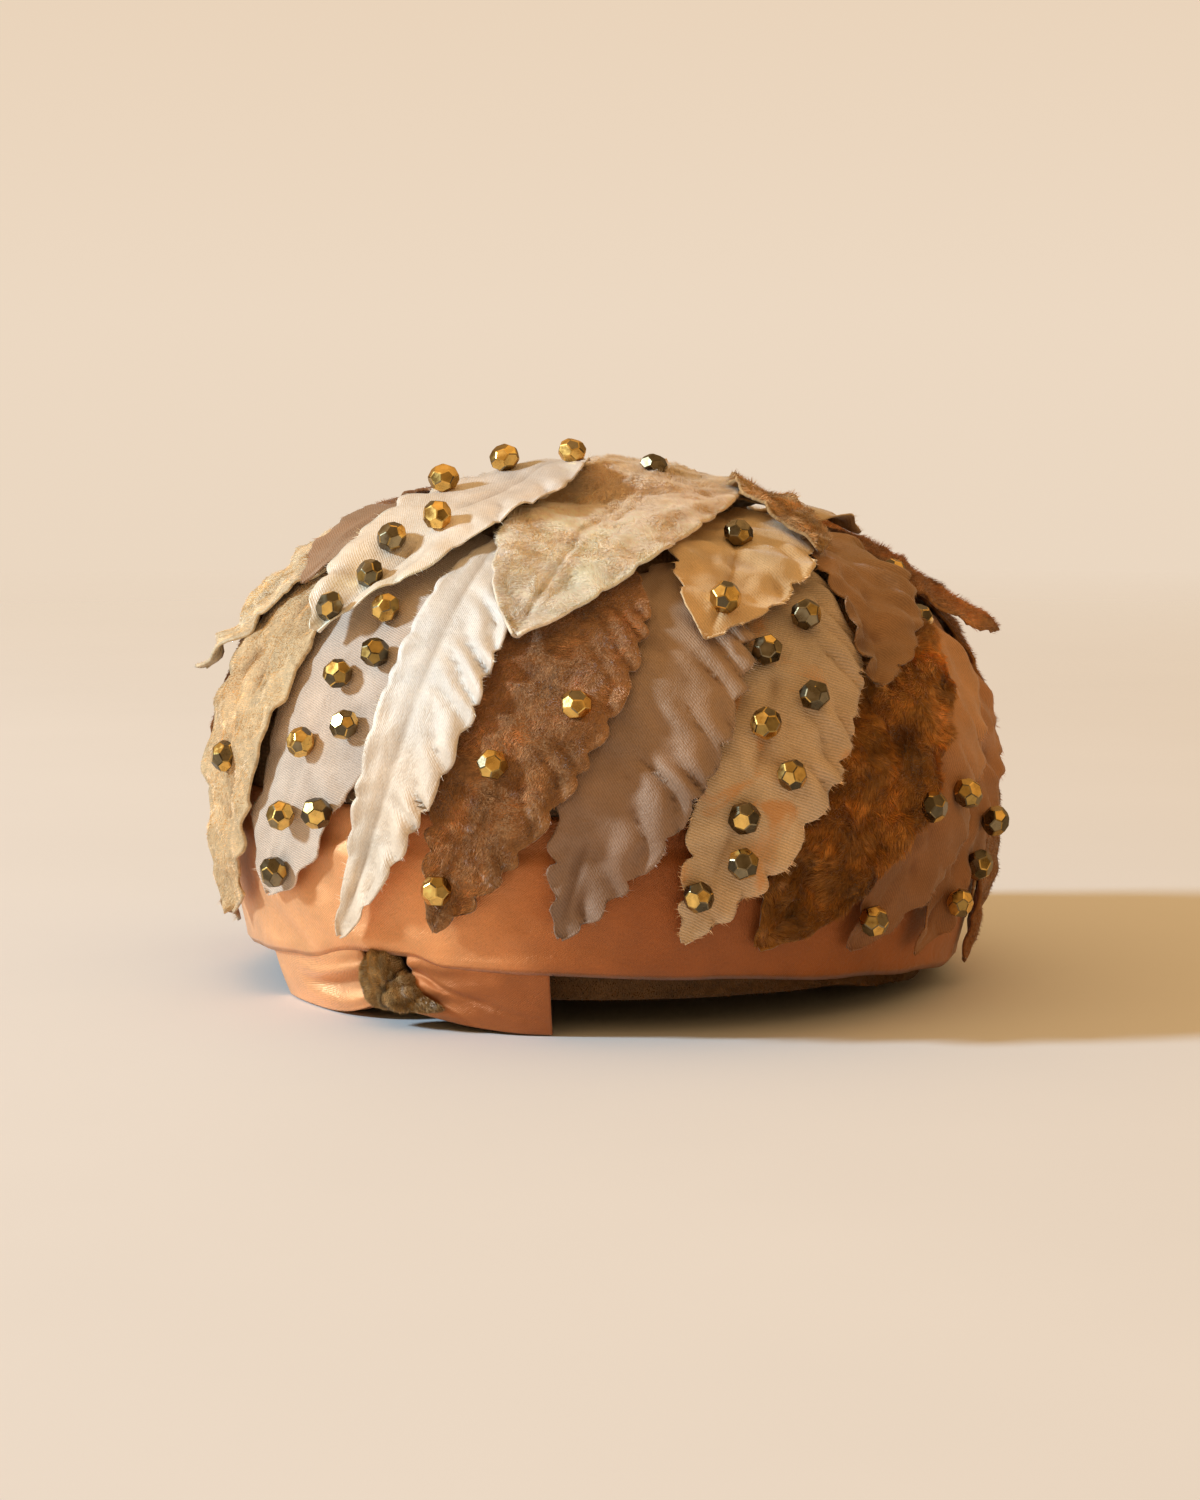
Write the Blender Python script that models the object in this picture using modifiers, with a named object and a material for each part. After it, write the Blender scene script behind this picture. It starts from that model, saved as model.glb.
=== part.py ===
"""Leaf-covered pillbox hat, modelled in metres.

A stiff domed crown carries a satin band round its foot, a velvet underband
tucked up inside it, and a flat satin bow with a velvet knot at the front left.
Velvet, satin, taffeta and ribbed leaves swirl down over the dome in three
rows, each lying on the ones sewn before it, with faceted beads sewn on top.

+Z is up, the front looks along -Y and +X is on the viewer's right. The origin
is on the surface that the hat rests on, under the middle of the hat's box.
An azimuth turns from the front towards +X, and a fall is the angle down from
the top of the dome as seen from the dome's centre, both in degrees.
"""

import math
from collections import namedtuple

import bmesh
import bpy
from mathutils import Matrix, Vector
from mathutils.bvhtree import BVHTree

MM = 0.001

# Dome: an upper half that is squarer than an ellipse, over a slower lower half
HALF_WIDTH = 109 * MM
HALF_DEPTH = 110 * MM
RISE = 87 * MM
DROP = 130 * MM
SQUARENESS = 2.4
LEAN = -0.04
WIDEST_Z = 53 * MM
AXIS_X = 0.72 * MM
AXIS_Y = 0.09 * MM
CENTRE = Vector((AXIS_X, AXIS_Y, WIDEST_Z))

# Walls and the gaps between layers
CROWN_WALL = 2.2 * MM
BAND_WALL = 1.3 * MM
VELVET_WALL = 1.8 * MM
LEAF_WALL = 1.0 * MM
LAYER_GAP = 0.35 * MM
BAND_GAP = 0.6 * MM
RING_STEPS = 40
CROWN_ROWS = 10

# Band and underband heights
BAND_TOP = 50 * MM
CROWN_RIM_LIFT = 3.5 * MM
UNDERBAND_TUCK = 15 * MM
UNDERBAND_FOOT_INSET = 4.0 * MM

# Lower edges round the hat, lifted at the front by the bow and flat behind:
# azimuth, satin edge (mm), velvet edge (mm)
HEMS = (
    (-180, 2.5, 0.0),
    (-120, 4.5, 0.0),
    (-90, 10.0, 3.0),
    (-67, 13.7, 6.0),
    (-52, 15.8, 8.0),
    (-39, 20.4, 9.0),
    (-29, 20.4, 9.0),
    (-24, 17.9, 9.1),
    (-8, 17.5, 9.1),
    (15, 16.0, 9.3),
    (40, 12.5, 8.8),
    (55, 10.0, 5.5),
    (73, 6.9, 2.5),
    (95, 4.0, 0.0),
    (180, 2.5, 0.0),
)

# Bow: a flattened loop to the left of the knot and a straight-cut end to its right
BOW_WALL = 1.2 * MM
BOW_GAP = 0.5 * MM
LOOP_FROM, LOOP_TO = -61.0, -39.0
LOOP_OUT = 1.2 * MM
LOOP_THICK = 6.0 * MM
LOOP_FOOT = 0.4 * MM
LOOP_KNOT_FOOT = 6.0 * MM
FLAP_FROM, FLAP_TO = -28.0, -8.0
FLAP_OUT = 0.8 * MM
FLAP_KNOT_FOOT = 6.0 * MM
KNOT_AZIMUTH = -33.5
KNOT_HALF = (9.0 * MM, 4.5 * MM, 6.8 * MM)
KNOT_OUT = 1.2 * MM

# Leaf outline: how far along the leaf its width swells, and its blunt ends
LEAF_SWELL = (0.42, 0.72)
LEAF_ROOT_HALF = 5.0 * MM
LEAF_TIP_HALF = 1.3 * MM
LEAF_CURL = 6
LEAF_STEPS = 7
LEAF_STEPS_BEHIND = 6
LEAF_STEPS_ACROSS = 4
PROBES = 4
PROBE_REACH = 1.12
# The tightest curve that a leaf's flat facets bridge
SHOULDER_RADIUS = 55 * MM

# A leaf hangs from its root to its tip. Its midrib may bow to the right and its
# tip lift off the hat, both in mm, as its width is
Leaf = namedtuple(
    "Leaf", "name cloth root_azimuth root_fall tip_azimuth tip_fall bow width lift"
)

# Lower leaves that show, in the order they are sewn on: the columns of Leaf
LOWER_LEAVES = (
    ("lower_leaf_10", "velvet_brown", 98, 66, 74, 112.5, 2, 38, 1),
    ("lower_leaf_09", "satin_mauve", 88, 62, 51, 108, 0, 38, 1),
    ("lower_leaf_08", "satin_mauve", 76, 58, 36.5, 105.5, 1, 40, 1),
    ("lower_leaf_07", "velvet_amber", 60, 56, 21.5, 104, 1, 46, 1),
    ("lower_leaf_06", "ribbed_khaki", 41, 44, 10.5, 102.5, 4, 43, 2),
    ("lower_leaf_05", "satin_mauve", 19, 46, -6, 102, 2, 43, 1),
    ("lower_leaf_04", "velvet_brown", 2, 46, -24, 102, 3, 42, 1),
    ("lower_leaf_02", "taffeta_pink", -33, 38, -56, 100, 7, 51, 1),
    ("lower_leaf_03", "satin_ivory", -23, 42, -39, 103.5, 12, 29, 3),
    ("lower_leaf_01", "velvet_tan", -64, 47, -71, 104.5, 2, 50, 1),
)

# Hidden lower leaves follow on behind at even turns
BEHIND_LEAVES = 9
BEHIND_FROM, BEHIND_TO = 74, 289
BEHIND_TURN = (BEHIND_TO - BEHIND_FROM) / (BEHIND_LEAVES + 1)
BEHIND_ROOT_TURN, BEHIND_ROOT_FALL = 22, 52
BEHIND_TIP_FALL, BEHIND_WIDTH, BEHIND_BOW = 109.5, 48, 4
BEHIND_CLOTHS = ("satin_mauve", "velvet_tan", "taffeta_pink", "velvet_brown", "satin_ochre")

# Upper leaves and the few that close the top, in the order they are sewn on:
# the columns of Leaf
UPPER_LEAVES = (
    ("upper_leaf_14", "velvet_tan", 266, 28, 246, 70, 3, 50, 1),
    ("upper_leaf_13", "satin_ochre", 234, 26, 214, 70, 3, 52, 1),
    ("upper_leaf_12", "velvet_brown", 202, 26, 182, 70, 3, 52, 1),
    ("upper_leaf_11", "taffeta_pink", 170, 26, 150, 70, 3, 52, 1),
    ("upper_leaf_10", "velvet_cream", 138, 28, 118, 72, 3, 50, 1),
    ("upper_leaf_09", "velvet_tan", 104, 36, 90, 80, 3, 40, 1),
    ("upper_leaf_08", "velvet_brown", 76, 33, 86, 67, -3, 40, 7),
    ("upper_leaf_07", "satin_mauve", 66, 36, 42, 70, 5, 34, 2),
    ("upper_leaf_06", "satin_ochre", 52, 27, 15, 62, 3, 44, 2),
    ("upper_leaf_01", "velvet_tan", -62, 32, -86, 72, 2, 36, 4),
    ("upper_leaf_02", "satin_mauve", -92, 16, -60, 56, -2, 40, 2),
    ("top_leaf_1", "velvet_brown", -40, 4, -122, 50, 4, 50, 1),
    ("top_leaf_2", "satin_ochre", 10, 5, 170, 50, 4, 54, 1),
    ("top_leaf_3", "satin_ochre", -60, 6, 86, 44, 2, 54, 2),
    ("upper_leaf_05", "velvet_cream", 95, 13, -13, 62, 0, 62, 3),
    ("upper_leaf_04", "velvet_amber", 78, 24, 46, 48, 0, 26, 2),
    ("upper_leaf_03", "satin_mauve", -36, 9, -48, 63, 6, 46, 5),
)

# Beads
BEAD_RADIUS = 3.9 * MM
BEAD_SIDES, BEAD_RINGS = 10, 4
BEAD_SINK = 0.7 * MM
BEAD_GAP = 0.3 * MM
# On the two leaves with the most, each bead is a piece of its own:
# azimuth, fall, metal
TAFFETA_BEADS = (
    (-38, 58, "bead_gold"),
    (-36, 65, "bead_pewter"),
    (-43, 68, "bead_gold"),
    (-39, 75, "bead_pewter"),
    (-47, 78, "bead_gold"),
    (-41, 87, "bead_pewter"),
    (-49, 88, "bead_gold"),
    (-51, 96, "bead_pewter"),
    (-59, 98, "bead_pewter"),
)
RIBBED_BEADS = (
    (34, 59, "bead_pewter"),
    (25, 64, "bead_pewter"),
    (30, 71, "bead_pewter"),
    (22, 74, "bead_gold"),
    (25, 81, "bead_pewter"),
    (18, 86, "bead_pewter"),
    (18, 92, "bead_pewter"),
    (12, 96, "bead_gold"),
)
# The others are one body with the leaf that they are sewn to: azimuth, fall
SEWN_BEADS = (
    (-58, 19),
    (-59, 30),
    (-39, 41),
    (-47, 46),
    (-45, 53),
    (-46, 60),
    (-24, 13),
    (-4, 71),
    (-15, 79),
    (-23, 96),
    (32, 41),
    (19, 56),
    (32, 15),
    (73, 53),
    (65, 61),
    (48, 87),
    (58, 86),
    (38, 101),
    (69, 91),
    (66, 97),
    (58, 101),
    (-68, 82),
)
# Hidden leaves with beads, and how far along the leaf these are
BEHIND_BEADED = (2, 5, 8)
BEHIND_BEADS_ALONG = (0.62, 0.82)

# Finish of each cloth and metal: colour, roughness, metallic
FINISHES = {
    "crown_cloth": ((0.36, 0.27, 0.18), 0.9, 0.0),
    "satin_copper": ((0.60, 0.27, 0.12), 0.4, 0.0),
    "velvet_olive": ((0.26, 0.17, 0.06), 0.9, 0.0),
    "satin_ivory": ((0.78, 0.62, 0.48), 0.4, 0.0),
    "satin_mauve": ((0.45, 0.29, 0.20), 0.45, 0.0),
    "satin_ochre": ((0.58, 0.37, 0.17), 0.45, 0.0),
    "taffeta_pink": ((0.60, 0.44, 0.33), 0.55, 0.0),
    "ribbed_khaki": ((0.42, 0.28, 0.14), 0.7, 0.0),
    "velvet_cream": ((0.78, 0.56, 0.30), 0.85, 0.0),
    "velvet_tan": ((0.52, 0.34, 0.16), 0.85, 0.0),
    "velvet_brown": ((0.30, 0.15, 0.06), 0.9, 0.0),
    "velvet_amber": ((0.34, 0.13, 0.02), 0.9, 0.0),
    "bead_gold": ((0.75, 0.48, 0.14), 0.3, 1.0),
    "bead_pewter": ((0.30, 0.26, 0.19), 0.3, 1.0),
}


def clear_scene():
    for old in list(bpy.data.objects):
        bpy.data.objects.remove(old, do_unlink=True)


def collection(name):
    made = bpy.data.collections.new(name)
    bpy.context.scene.collection.children.link(made)
    return made


def material(name):
    made = bpy.data.materials.get(name)
    if made is None:
        colour, roughness, metallic = FINISHES[name]
        made = bpy.data.materials.new(name)
        made.use_nodes = True
        shader = made.node_tree.nodes["Principled BSDF"]
        shader.inputs["Base Color"].default_value = (*colour, 1)
        shader.inputs["Roughness"].default_value = roughness
        shader.inputs["Metallic"].default_value = metallic
        made.diffuse_color = (*colour, 1)
    return made


def add_object(name, bm, cloth, place):
    mesh = bpy.data.meshes.new(name)
    bm.to_mesh(mesh)
    bm.free()
    mesh.shade_smooth()
    mesh.set_sharp_from_angle(angle=math.radians(50))
    mesh.materials.append(material(cloth))
    made = bpy.data.objects.new(name, mesh)
    place.objects.link(made)
    return made


def thicken(made, wall, offset):
    solidify = made.modifiers.new("Cloth thickness", "SOLIDIFY")
    solidify.thickness = wall
    solidify.offset = offset
    return made


def towards(azimuth, fall):
    """The direction from the dome's centre at an azimuth and a fall."""
    turn, down = math.radians(azimuth), math.radians(fall)
    flat = math.sin(down)
    return Vector((flat * math.sin(turn), -flat * math.cos(turn), math.cos(down)))


def dome_radius(way):
    """From the dome's centre to its outer face, along a direction."""
    above = way.z > 0
    power, height = (SQUARENESS, RISE) if above else (2.0, DROP)
    lean = LEAN * way.z if above else 0.0
    flat = math.hypot((way.x - lean) / HALF_WIDTH, way.y / HALF_DEPTH)
    return (flat**power + abs(way.z / height) ** power) ** (-1 / power)


def on_dome(way, out):
    return CENTRE + way * (dome_radius(way) + out)


def on_wall(azimuth, z, out):
    """A point of the dome's wall at an azimuth and a height, set out sideways."""
    turn = math.radians(azimuth)
    side = Vector((math.sin(turn), -math.cos(turn), 0))
    height = z - WIDEST_Z
    power, reach = (SQUARENESS, RISE) if height > 0 else (2.0, DROP)
    level = (1 - abs(height / reach) ** power) ** (1 / power)
    radius = level / math.hypot(side.x / HALF_WIDTH, side.y / HALF_DEPTH)
    return Vector((AXIS_X, AXIS_Y, z)) + side * (radius + out)


def hem(azimuth, column):
    """The height of a lower edge at an azimuth: column 1 is satin, 2 is velvet."""
    azimuth = (azimuth + 180) % 360 - 180
    for low, high in zip(HEMS, HEMS[1:]):
        if low[0] <= azimuth <= high[0]:
            part = (azimuth - low[0]) / (high[0] - low[0])
            part = part * part * (3 - 2 * part)
            return (low[column] + (high[column] - low[column]) * part) * MM
    raise ValueError(azimuth)


def satin_hem(azimuth):
    return hem(azimuth, 1)


def velvet_hem(azimuth):
    return hem(azimuth, 2)


def bow_top(azimuth):
    """Just under the band's foot, which runs straight between its ring steps."""
    step = 360 / RING_STEPS
    low = math.floor(azimuth / step) * step
    part = (azimuth - low) / step
    return satin_hem(low) * (1 - part) + satin_hem(low + step) * part - BOW_GAP


def sheet(across, along, point):
    """A grid whose corners go to point(u, v), with u to the right and v upwards."""
    bm = bmesh.new()
    bmesh.ops.create_grid(bm, x_segments=across, y_segments=along, size=0.5)
    for corner in bm.verts:
        corner.co = point(corner.co.x + 0.5, corner.co.y + 0.5)
    return bm


def weld(bm):
    bmesh.ops.remove_doubles(bm, verts=bm.verts, dist=0.001 * MM)
    return bm


def make_crown(parts):
    """A stiff dome, open at the foot, whose rim is hidden by the band."""

    def point(u, v):
        azimuth = 360 * u - 180
        rim = on_wall(azimuth, satin_hem(azimuth) + CROWN_RIM_LIFT, 0) - CENTRE
        rim_fall = 90 + math.degrees(math.atan2(-rim.z, math.hypot(rim.x, rim.y)))
        return on_dome(towards(azimuth, rim_fall * (1 - v)), 0)

    bm = weld(sheet(RING_STEPS, CROWN_ROWS, point))
    return thicken(add_object("crown", bm, "crown_cloth", parts), CROWN_WALL, -1)


def make_ring(name, cloth, section, parts):
    """A closed ring round the dome. section(azimuth) lists its corners as
    (height, set-out), up the outer face and down the inner one."""
    corners = len(section(0))

    def point(u, v):
        azimuth = 360 * u - 180
        z, out = section(azimuth)[round(v * corners) % corners]
        return on_wall(azimuth, z, out)

    return add_object(name, weld(sheet(RING_STEPS, corners, point)), cloth, parts)


def band_section(azimuth):
    foot, middle = satin_hem(azimuth), (satin_hem(azimuth) + BAND_TOP) / 2
    inner, outer = BAND_GAP, BAND_GAP + BAND_WALL
    levels = (foot, middle, BAND_TOP)
    return [(z, outer) for z in levels] + [(z, inner) for z in reversed(levels)]


def underband_section(azimuth):
    foot, top = velvet_hem(azimuth), satin_hem(azimuth) + UNDERBAND_TUCK
    outer = -CROWN_WALL - BAND_GAP
    foot_outer = outer - UNDERBAND_FOOT_INSET
    return [
        (foot, foot_outer),
        (top, outer),
        (top, outer - VELVET_WALL),
        (foot, foot_outer - VELVET_WALL),
    ]


def make_bow_loop(parts):
    """A loop of ribbon, open above and below, flattened against the hat."""
    middle, half = (LOOP_FROM + LOOP_TO) / 2, (LOOP_TO - LOOP_FROM) / 2

    def point(u, v):
        turn = 2 * math.pi * u
        reach = math.cos(turn)
        azimuth = middle + half * reach
        out = LOOP_OUT - LOOP_THICK / 2 - LOOP_THICK / 2 * math.sin(turn)
        gather = max(reach, 0) ** 4
        foot = LOOP_FOOT + (LOOP_KNOT_FOOT - LOOP_FOOT) * gather
        top = bow_top(azimuth)
        return on_wall(azimuth, foot + (top - foot) * v, out)

    bm = weld(sheet(16, 3, point))
    return thicken(add_object("bow_loop", bm, "satin_copper", parts), BOW_WALL, -1)


def make_bow_flap(parts):
    """The ribbon's end, which hangs under the band and is cut straight."""

    def point(u, v):
        azimuth = FLAP_FROM + (FLAP_TO - FLAP_FROM) * u
        foot = LOOP_FOOT + (FLAP_KNOT_FOOT - LOOP_FOOT) * (1 - u)
        top = bow_top(azimuth)
        return on_wall(azimuth, foot + (top - foot) * v, FLAP_OUT)

    bm = sheet(6, 3, point)
    return thicken(add_object("bow_flap", bm, "satin_copper", parts), BOW_WALL, -1)


def make_bow_knot(parts):
    """The velvet wrap that gathers the ribbon."""
    top = bow_top(KNOT_AZIMUTH)
    middle = on_wall(KNOT_AZIMUTH, top - KNOT_HALF[2], KNOT_OUT)
    place = Matrix.LocRotScale(
        middle,
        Matrix.Rotation(math.radians(KNOT_AZIMUTH), 3, "Z"),
        Vector(KNOT_HALF),
    )
    bm = bmesh.new()
    bmesh.ops.create_uvsphere(bm, u_segments=12, v_segments=8, radius=1, matrix=place)
    return add_object("bow_knot", bm, "velvet_olive", parts)


class Stack:
    """What has been sewn on so far, probed from outside towards the centre."""

    def __init__(self):
        self.points = []
        self.faces = []
        self.owners = []
        self.tree = None

    def add(self, made):
        graph = bpy.context.evaluated_depsgraph_get()
        evaluated = made.evaluated_get(graph)
        mesh = evaluated.to_mesh()
        mesh.calc_loop_triangles()
        start = len(self.points)
        self.points += [made.matrix_world @ v.co for v in mesh.vertices]
        self.faces += [[start + i for i in face.vertices] for face in mesh.loop_triangles]
        self.owners += [made] * len(mesh.loop_triangles)
        evaluated.to_mesh_clear()
        self.tree = BVHTree.FromPolygons(self.points, self.faces)

    def hit(self, way):
        far = CENTRE + way * 2 * HALF_WIDTH
        return self.tree.ray_cast(far, -way)

    def height(self, way):
        """How far the outermost face stands out from the dome."""
        where = self.hit(way)[0]
        return 0.0 if where is None else (where - CENTRE).length - dome_radius(way)

    def seat(self, way, gap):
        """A bead's centre and axis on the outermost piece along a direction, and that piece."""
        where, normal, face, _ = self.hit(way)
        return where + normal * (BEAD_RADIUS + gap), normal, self.owners[face]

    def clear(self, middle, axis):
        """The centre moved out until the bead clears all that is sewn on."""
        need = BEAD_RADIUS + BEAD_GAP
        while (near := self.tree.find_nearest(middle)[3]) < need - 0.01 * MM:
            middle = middle + axis * (need - near)
        return middle


def leaf_way(leaf, along, across):
    """The direction of a point of a leaf, along from root to tip (0 to 1)
    and across from its left edge to its right one (-1 to 1)."""
    root = towards(leaf.root_azimuth, leaf.root_fall)
    tip = towards(leaf.tip_azimuth, leaf.tip_fall)
    side = root.cross(tip).normalized()
    swell, taper = LEAF_SWELL
    widest = swell / (swell + taper)
    fullest = widest**swell * (1 - widest) ** taper
    half = leaf.width * MM / 2 * along**swell * (1 - along) ** taper / fullest
    half = max(half, LEAF_ROOT_HALF + (LEAF_TIP_HALF - LEAF_ROOT_HALF) * along)
    aside = leaf.bow * MM * 4 * along * (1 - along) + across * half
    turn = aside / HALF_WIDTH
    return root.slerp(tip, along) * math.cos(turn) + side * math.sin(turn)


def make_leaf(leaf, stack, steps, place):
    """A leaf of cloth, laid on the highest thing under each stretch of it."""
    length = HALF_WIDTH * leaf_way(leaf, 0, 0).angle(leaf_way(leaf, 1, 0))
    gap = LAYER_GAP + (length / steps) ** 2 / (8 * SHOULDER_RADIUS)
    rows, columns = steps * PROBES, LEAF_STEPS_ACROSS * PROBES
    sides = [PROBE_REACH * (2 * j / columns - 1) for j in range(columns + 1)]
    probed = [
        [stack.height(leaf_way(leaf, i / rows, side)) for side in sides] for i in range(rows + 1)
    ]

    def point(u, v):
        along, across = 1 - v, 2 * u - 1
        row, column = round(along * rows), round(u * columns)
        near = [
            height
            for line in probed[max(row - PROBES, 0) : row + PROBES + 1]
            for height in line[max(column - PROBES, 0) : column + PROBES + 1]
        ]
        way = leaf_way(leaf, along, across)
        return on_dome(way, max(near) + gap + leaf.lift * MM * along**LEAF_CURL)

    bm = sheet(LEAF_STEPS_ACROSS, steps, point)
    stack.add(thicken(add_object(leaf.name, bm, leaf.cloth, place), LEAF_WALL, 1))


def add_bead(bm, middle, axis):
    turn = axis.to_track_quat("Z", "Y").to_matrix().to_4x4()
    place = Matrix.Translation(middle) @ turn
    bmesh.ops.create_uvsphere(
        bm, u_segments=BEAD_SIDES, v_segments=BEAD_RINGS, radius=BEAD_RADIUS, matrix=place
    )


def make_loose_beads(prefix, table, stack, place):
    for number, (azimuth, fall, metal) in enumerate(table, 1):
        middle, axis, _ = stack.seat(towards(azimuth, fall), BEAD_GAP)
        bm = bmesh.new()
        add_bead(bm, stack.clear(middle, axis), axis)
        add_object(f"{prefix}_{number}", bm, metal, place)


def sew_beads(ways, stack, helpers):
    """Joins each bead to the leaf under it, so that leaf and beads are one body."""
    groups = {}
    for way in ways:
        middle, axis, leaf = stack.seat(way, -BEAD_SINK)
        groups.setdefault(leaf, []).append((middle, axis))
    for leaf, beads in groups.items():
        bm = bmesh.new()
        for middle, axis in beads:
            add_bead(bm, middle, axis)
        helper = add_object(f"beads_of_{leaf.name}", bm, "bead_gold", helpers)
        helper.hide_render = True
        helper.display_type = "WIRE"
        union = leaf.modifiers.new("Beads sewn on", "BOOLEAN")
        union.operation = "UNION"
        union.object = helper


def behind_leaf(number):
    """A hidden lower leaf, counted from the right side round to the left one."""
    tip = BEHIND_FROM + BEHIND_TURN * number
    cloth = BEHIND_CLOTHS[number % len(BEHIND_CLOTHS)]
    name = f"lower_leaf_{10 + number}"
    root = (tip + BEHIND_ROOT_TURN, BEHIND_ROOT_FALL)
    return Leaf(name, cloth, *root, tip, BEHIND_TIP_FALL, BEHIND_BOW, BEHIND_WIDTH, 1)


def build():
    clear_scene()
    parts, helpers = collection("pillbox_hat"), collection("helpers")
    stack = Stack()
    stack.add(make_crown(parts))
    stack.add(make_ring("satin_band", "satin_copper", band_section, parts))
    make_ring("velvet_underband", "velvet_olive", underband_section, parts)
    make_bow_loop(parts)
    make_bow_flap(parts)
    make_bow_knot(parts)
    for number in range(BEHIND_LEAVES, 0, -1):
        make_leaf(behind_leaf(number), stack, LEAF_STEPS_BEHIND, parts)
    for row in LOWER_LEAVES + UPPER_LEAVES:
        make_leaf(Leaf(*row), stack, LEAF_STEPS, parts)
    make_loose_beads("taffeta_bead", TAFFETA_BEADS, stack, parts)
    make_loose_beads("ribbed_bead", RIBBED_BEADS, stack, parts)
    ways = [towards(*spot) for spot in SEWN_BEADS]
    for number in BEHIND_BEADED:
        ways += [leaf_way(behind_leaf(number), along, 0) for along in BEHIND_BEADS_ALONG]
    sew_beads(ways, stack, helpers)


build()
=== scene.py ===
"""Dresses a leaf-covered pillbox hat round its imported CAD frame.

Every cloth solid of the frame is stood for by a finer piece in the same
place: leaves with scalloped, frayed edges and pressed veins, velvet pile,
faceted metal beads, a satin band, a velvet underband and a gathered bow.
Sizes are in millimetres until a mesh is made. An azimuth turns from the front
towards +X and a fall is the angle down from the top, both in degrees and both
as seen from the dome's centre.
"""

import math
from collections import namedtuple

import bmesh
import bpy
import numpy as np
from bpy.props import FloatProperty, FloatVectorProperty, IntProperty, PointerProperty
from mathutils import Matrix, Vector
from mathutils.bvhtree import BVHTree


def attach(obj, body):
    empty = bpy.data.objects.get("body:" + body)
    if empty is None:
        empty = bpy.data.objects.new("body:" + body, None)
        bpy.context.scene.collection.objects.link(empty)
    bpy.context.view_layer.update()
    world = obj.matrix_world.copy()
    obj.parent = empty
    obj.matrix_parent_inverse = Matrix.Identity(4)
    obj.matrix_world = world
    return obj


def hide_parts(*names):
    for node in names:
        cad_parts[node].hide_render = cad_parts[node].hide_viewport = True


bl_info = {
    "name": "Leaf-covered pillbox hat",
    "version": (1, 0, 0),
    "blender": (4, 5, 0),
    "location": "View3D > Sidebar > Hat",
    "description": "Makes the cloth leaves, beads, band and bow of a pillbox hat",
    "category": "Add Mesh",
}

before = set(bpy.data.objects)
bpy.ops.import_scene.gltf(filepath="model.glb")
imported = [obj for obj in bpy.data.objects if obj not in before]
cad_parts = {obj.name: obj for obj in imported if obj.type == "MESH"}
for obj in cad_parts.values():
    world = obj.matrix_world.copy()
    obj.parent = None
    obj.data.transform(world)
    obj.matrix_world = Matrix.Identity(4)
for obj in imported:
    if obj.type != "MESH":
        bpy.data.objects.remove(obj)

MM = 0.001

# The crown's dome, as the solids have it
HALF_WIDTH, HALF_DEPTH = 109.0, 110.0
RISE, DROP = 87.0, 130.0
SQUARENESS, LEAN = 2.4, -0.04
CENTRE = np.array((0.72, 0.09, 53.0))
BAND_TOP = 50.0
BAND_OVERLAP = 11
CAD_LEAF_WALL = 1.0

# Lower edges round the hat: azimuth, satin edge, velvet edge
HEMS = np.array([
    (-180, 2.5, 0.0),
    (-120, 4.5, 0.0),
    (-90, 10.0, 3.0),
    (-67, 13.7, 6.0),
    (-52, 15.8, 8.0),
    (-39, 20.4, 9.0),
    (-29, 20.4, 9.0),
    (-24, 17.9, 9.1),
    (-8, 17.5, 9.1),
    (15, 16.0, 9.3),
    (40, 12.5, 8.8),
    (55, 10.0, 5.5),
    (73, 6.9, 2.5),
    (95, 4.0, 0.0),
    (180, 2.5, 0.0),
])

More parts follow.
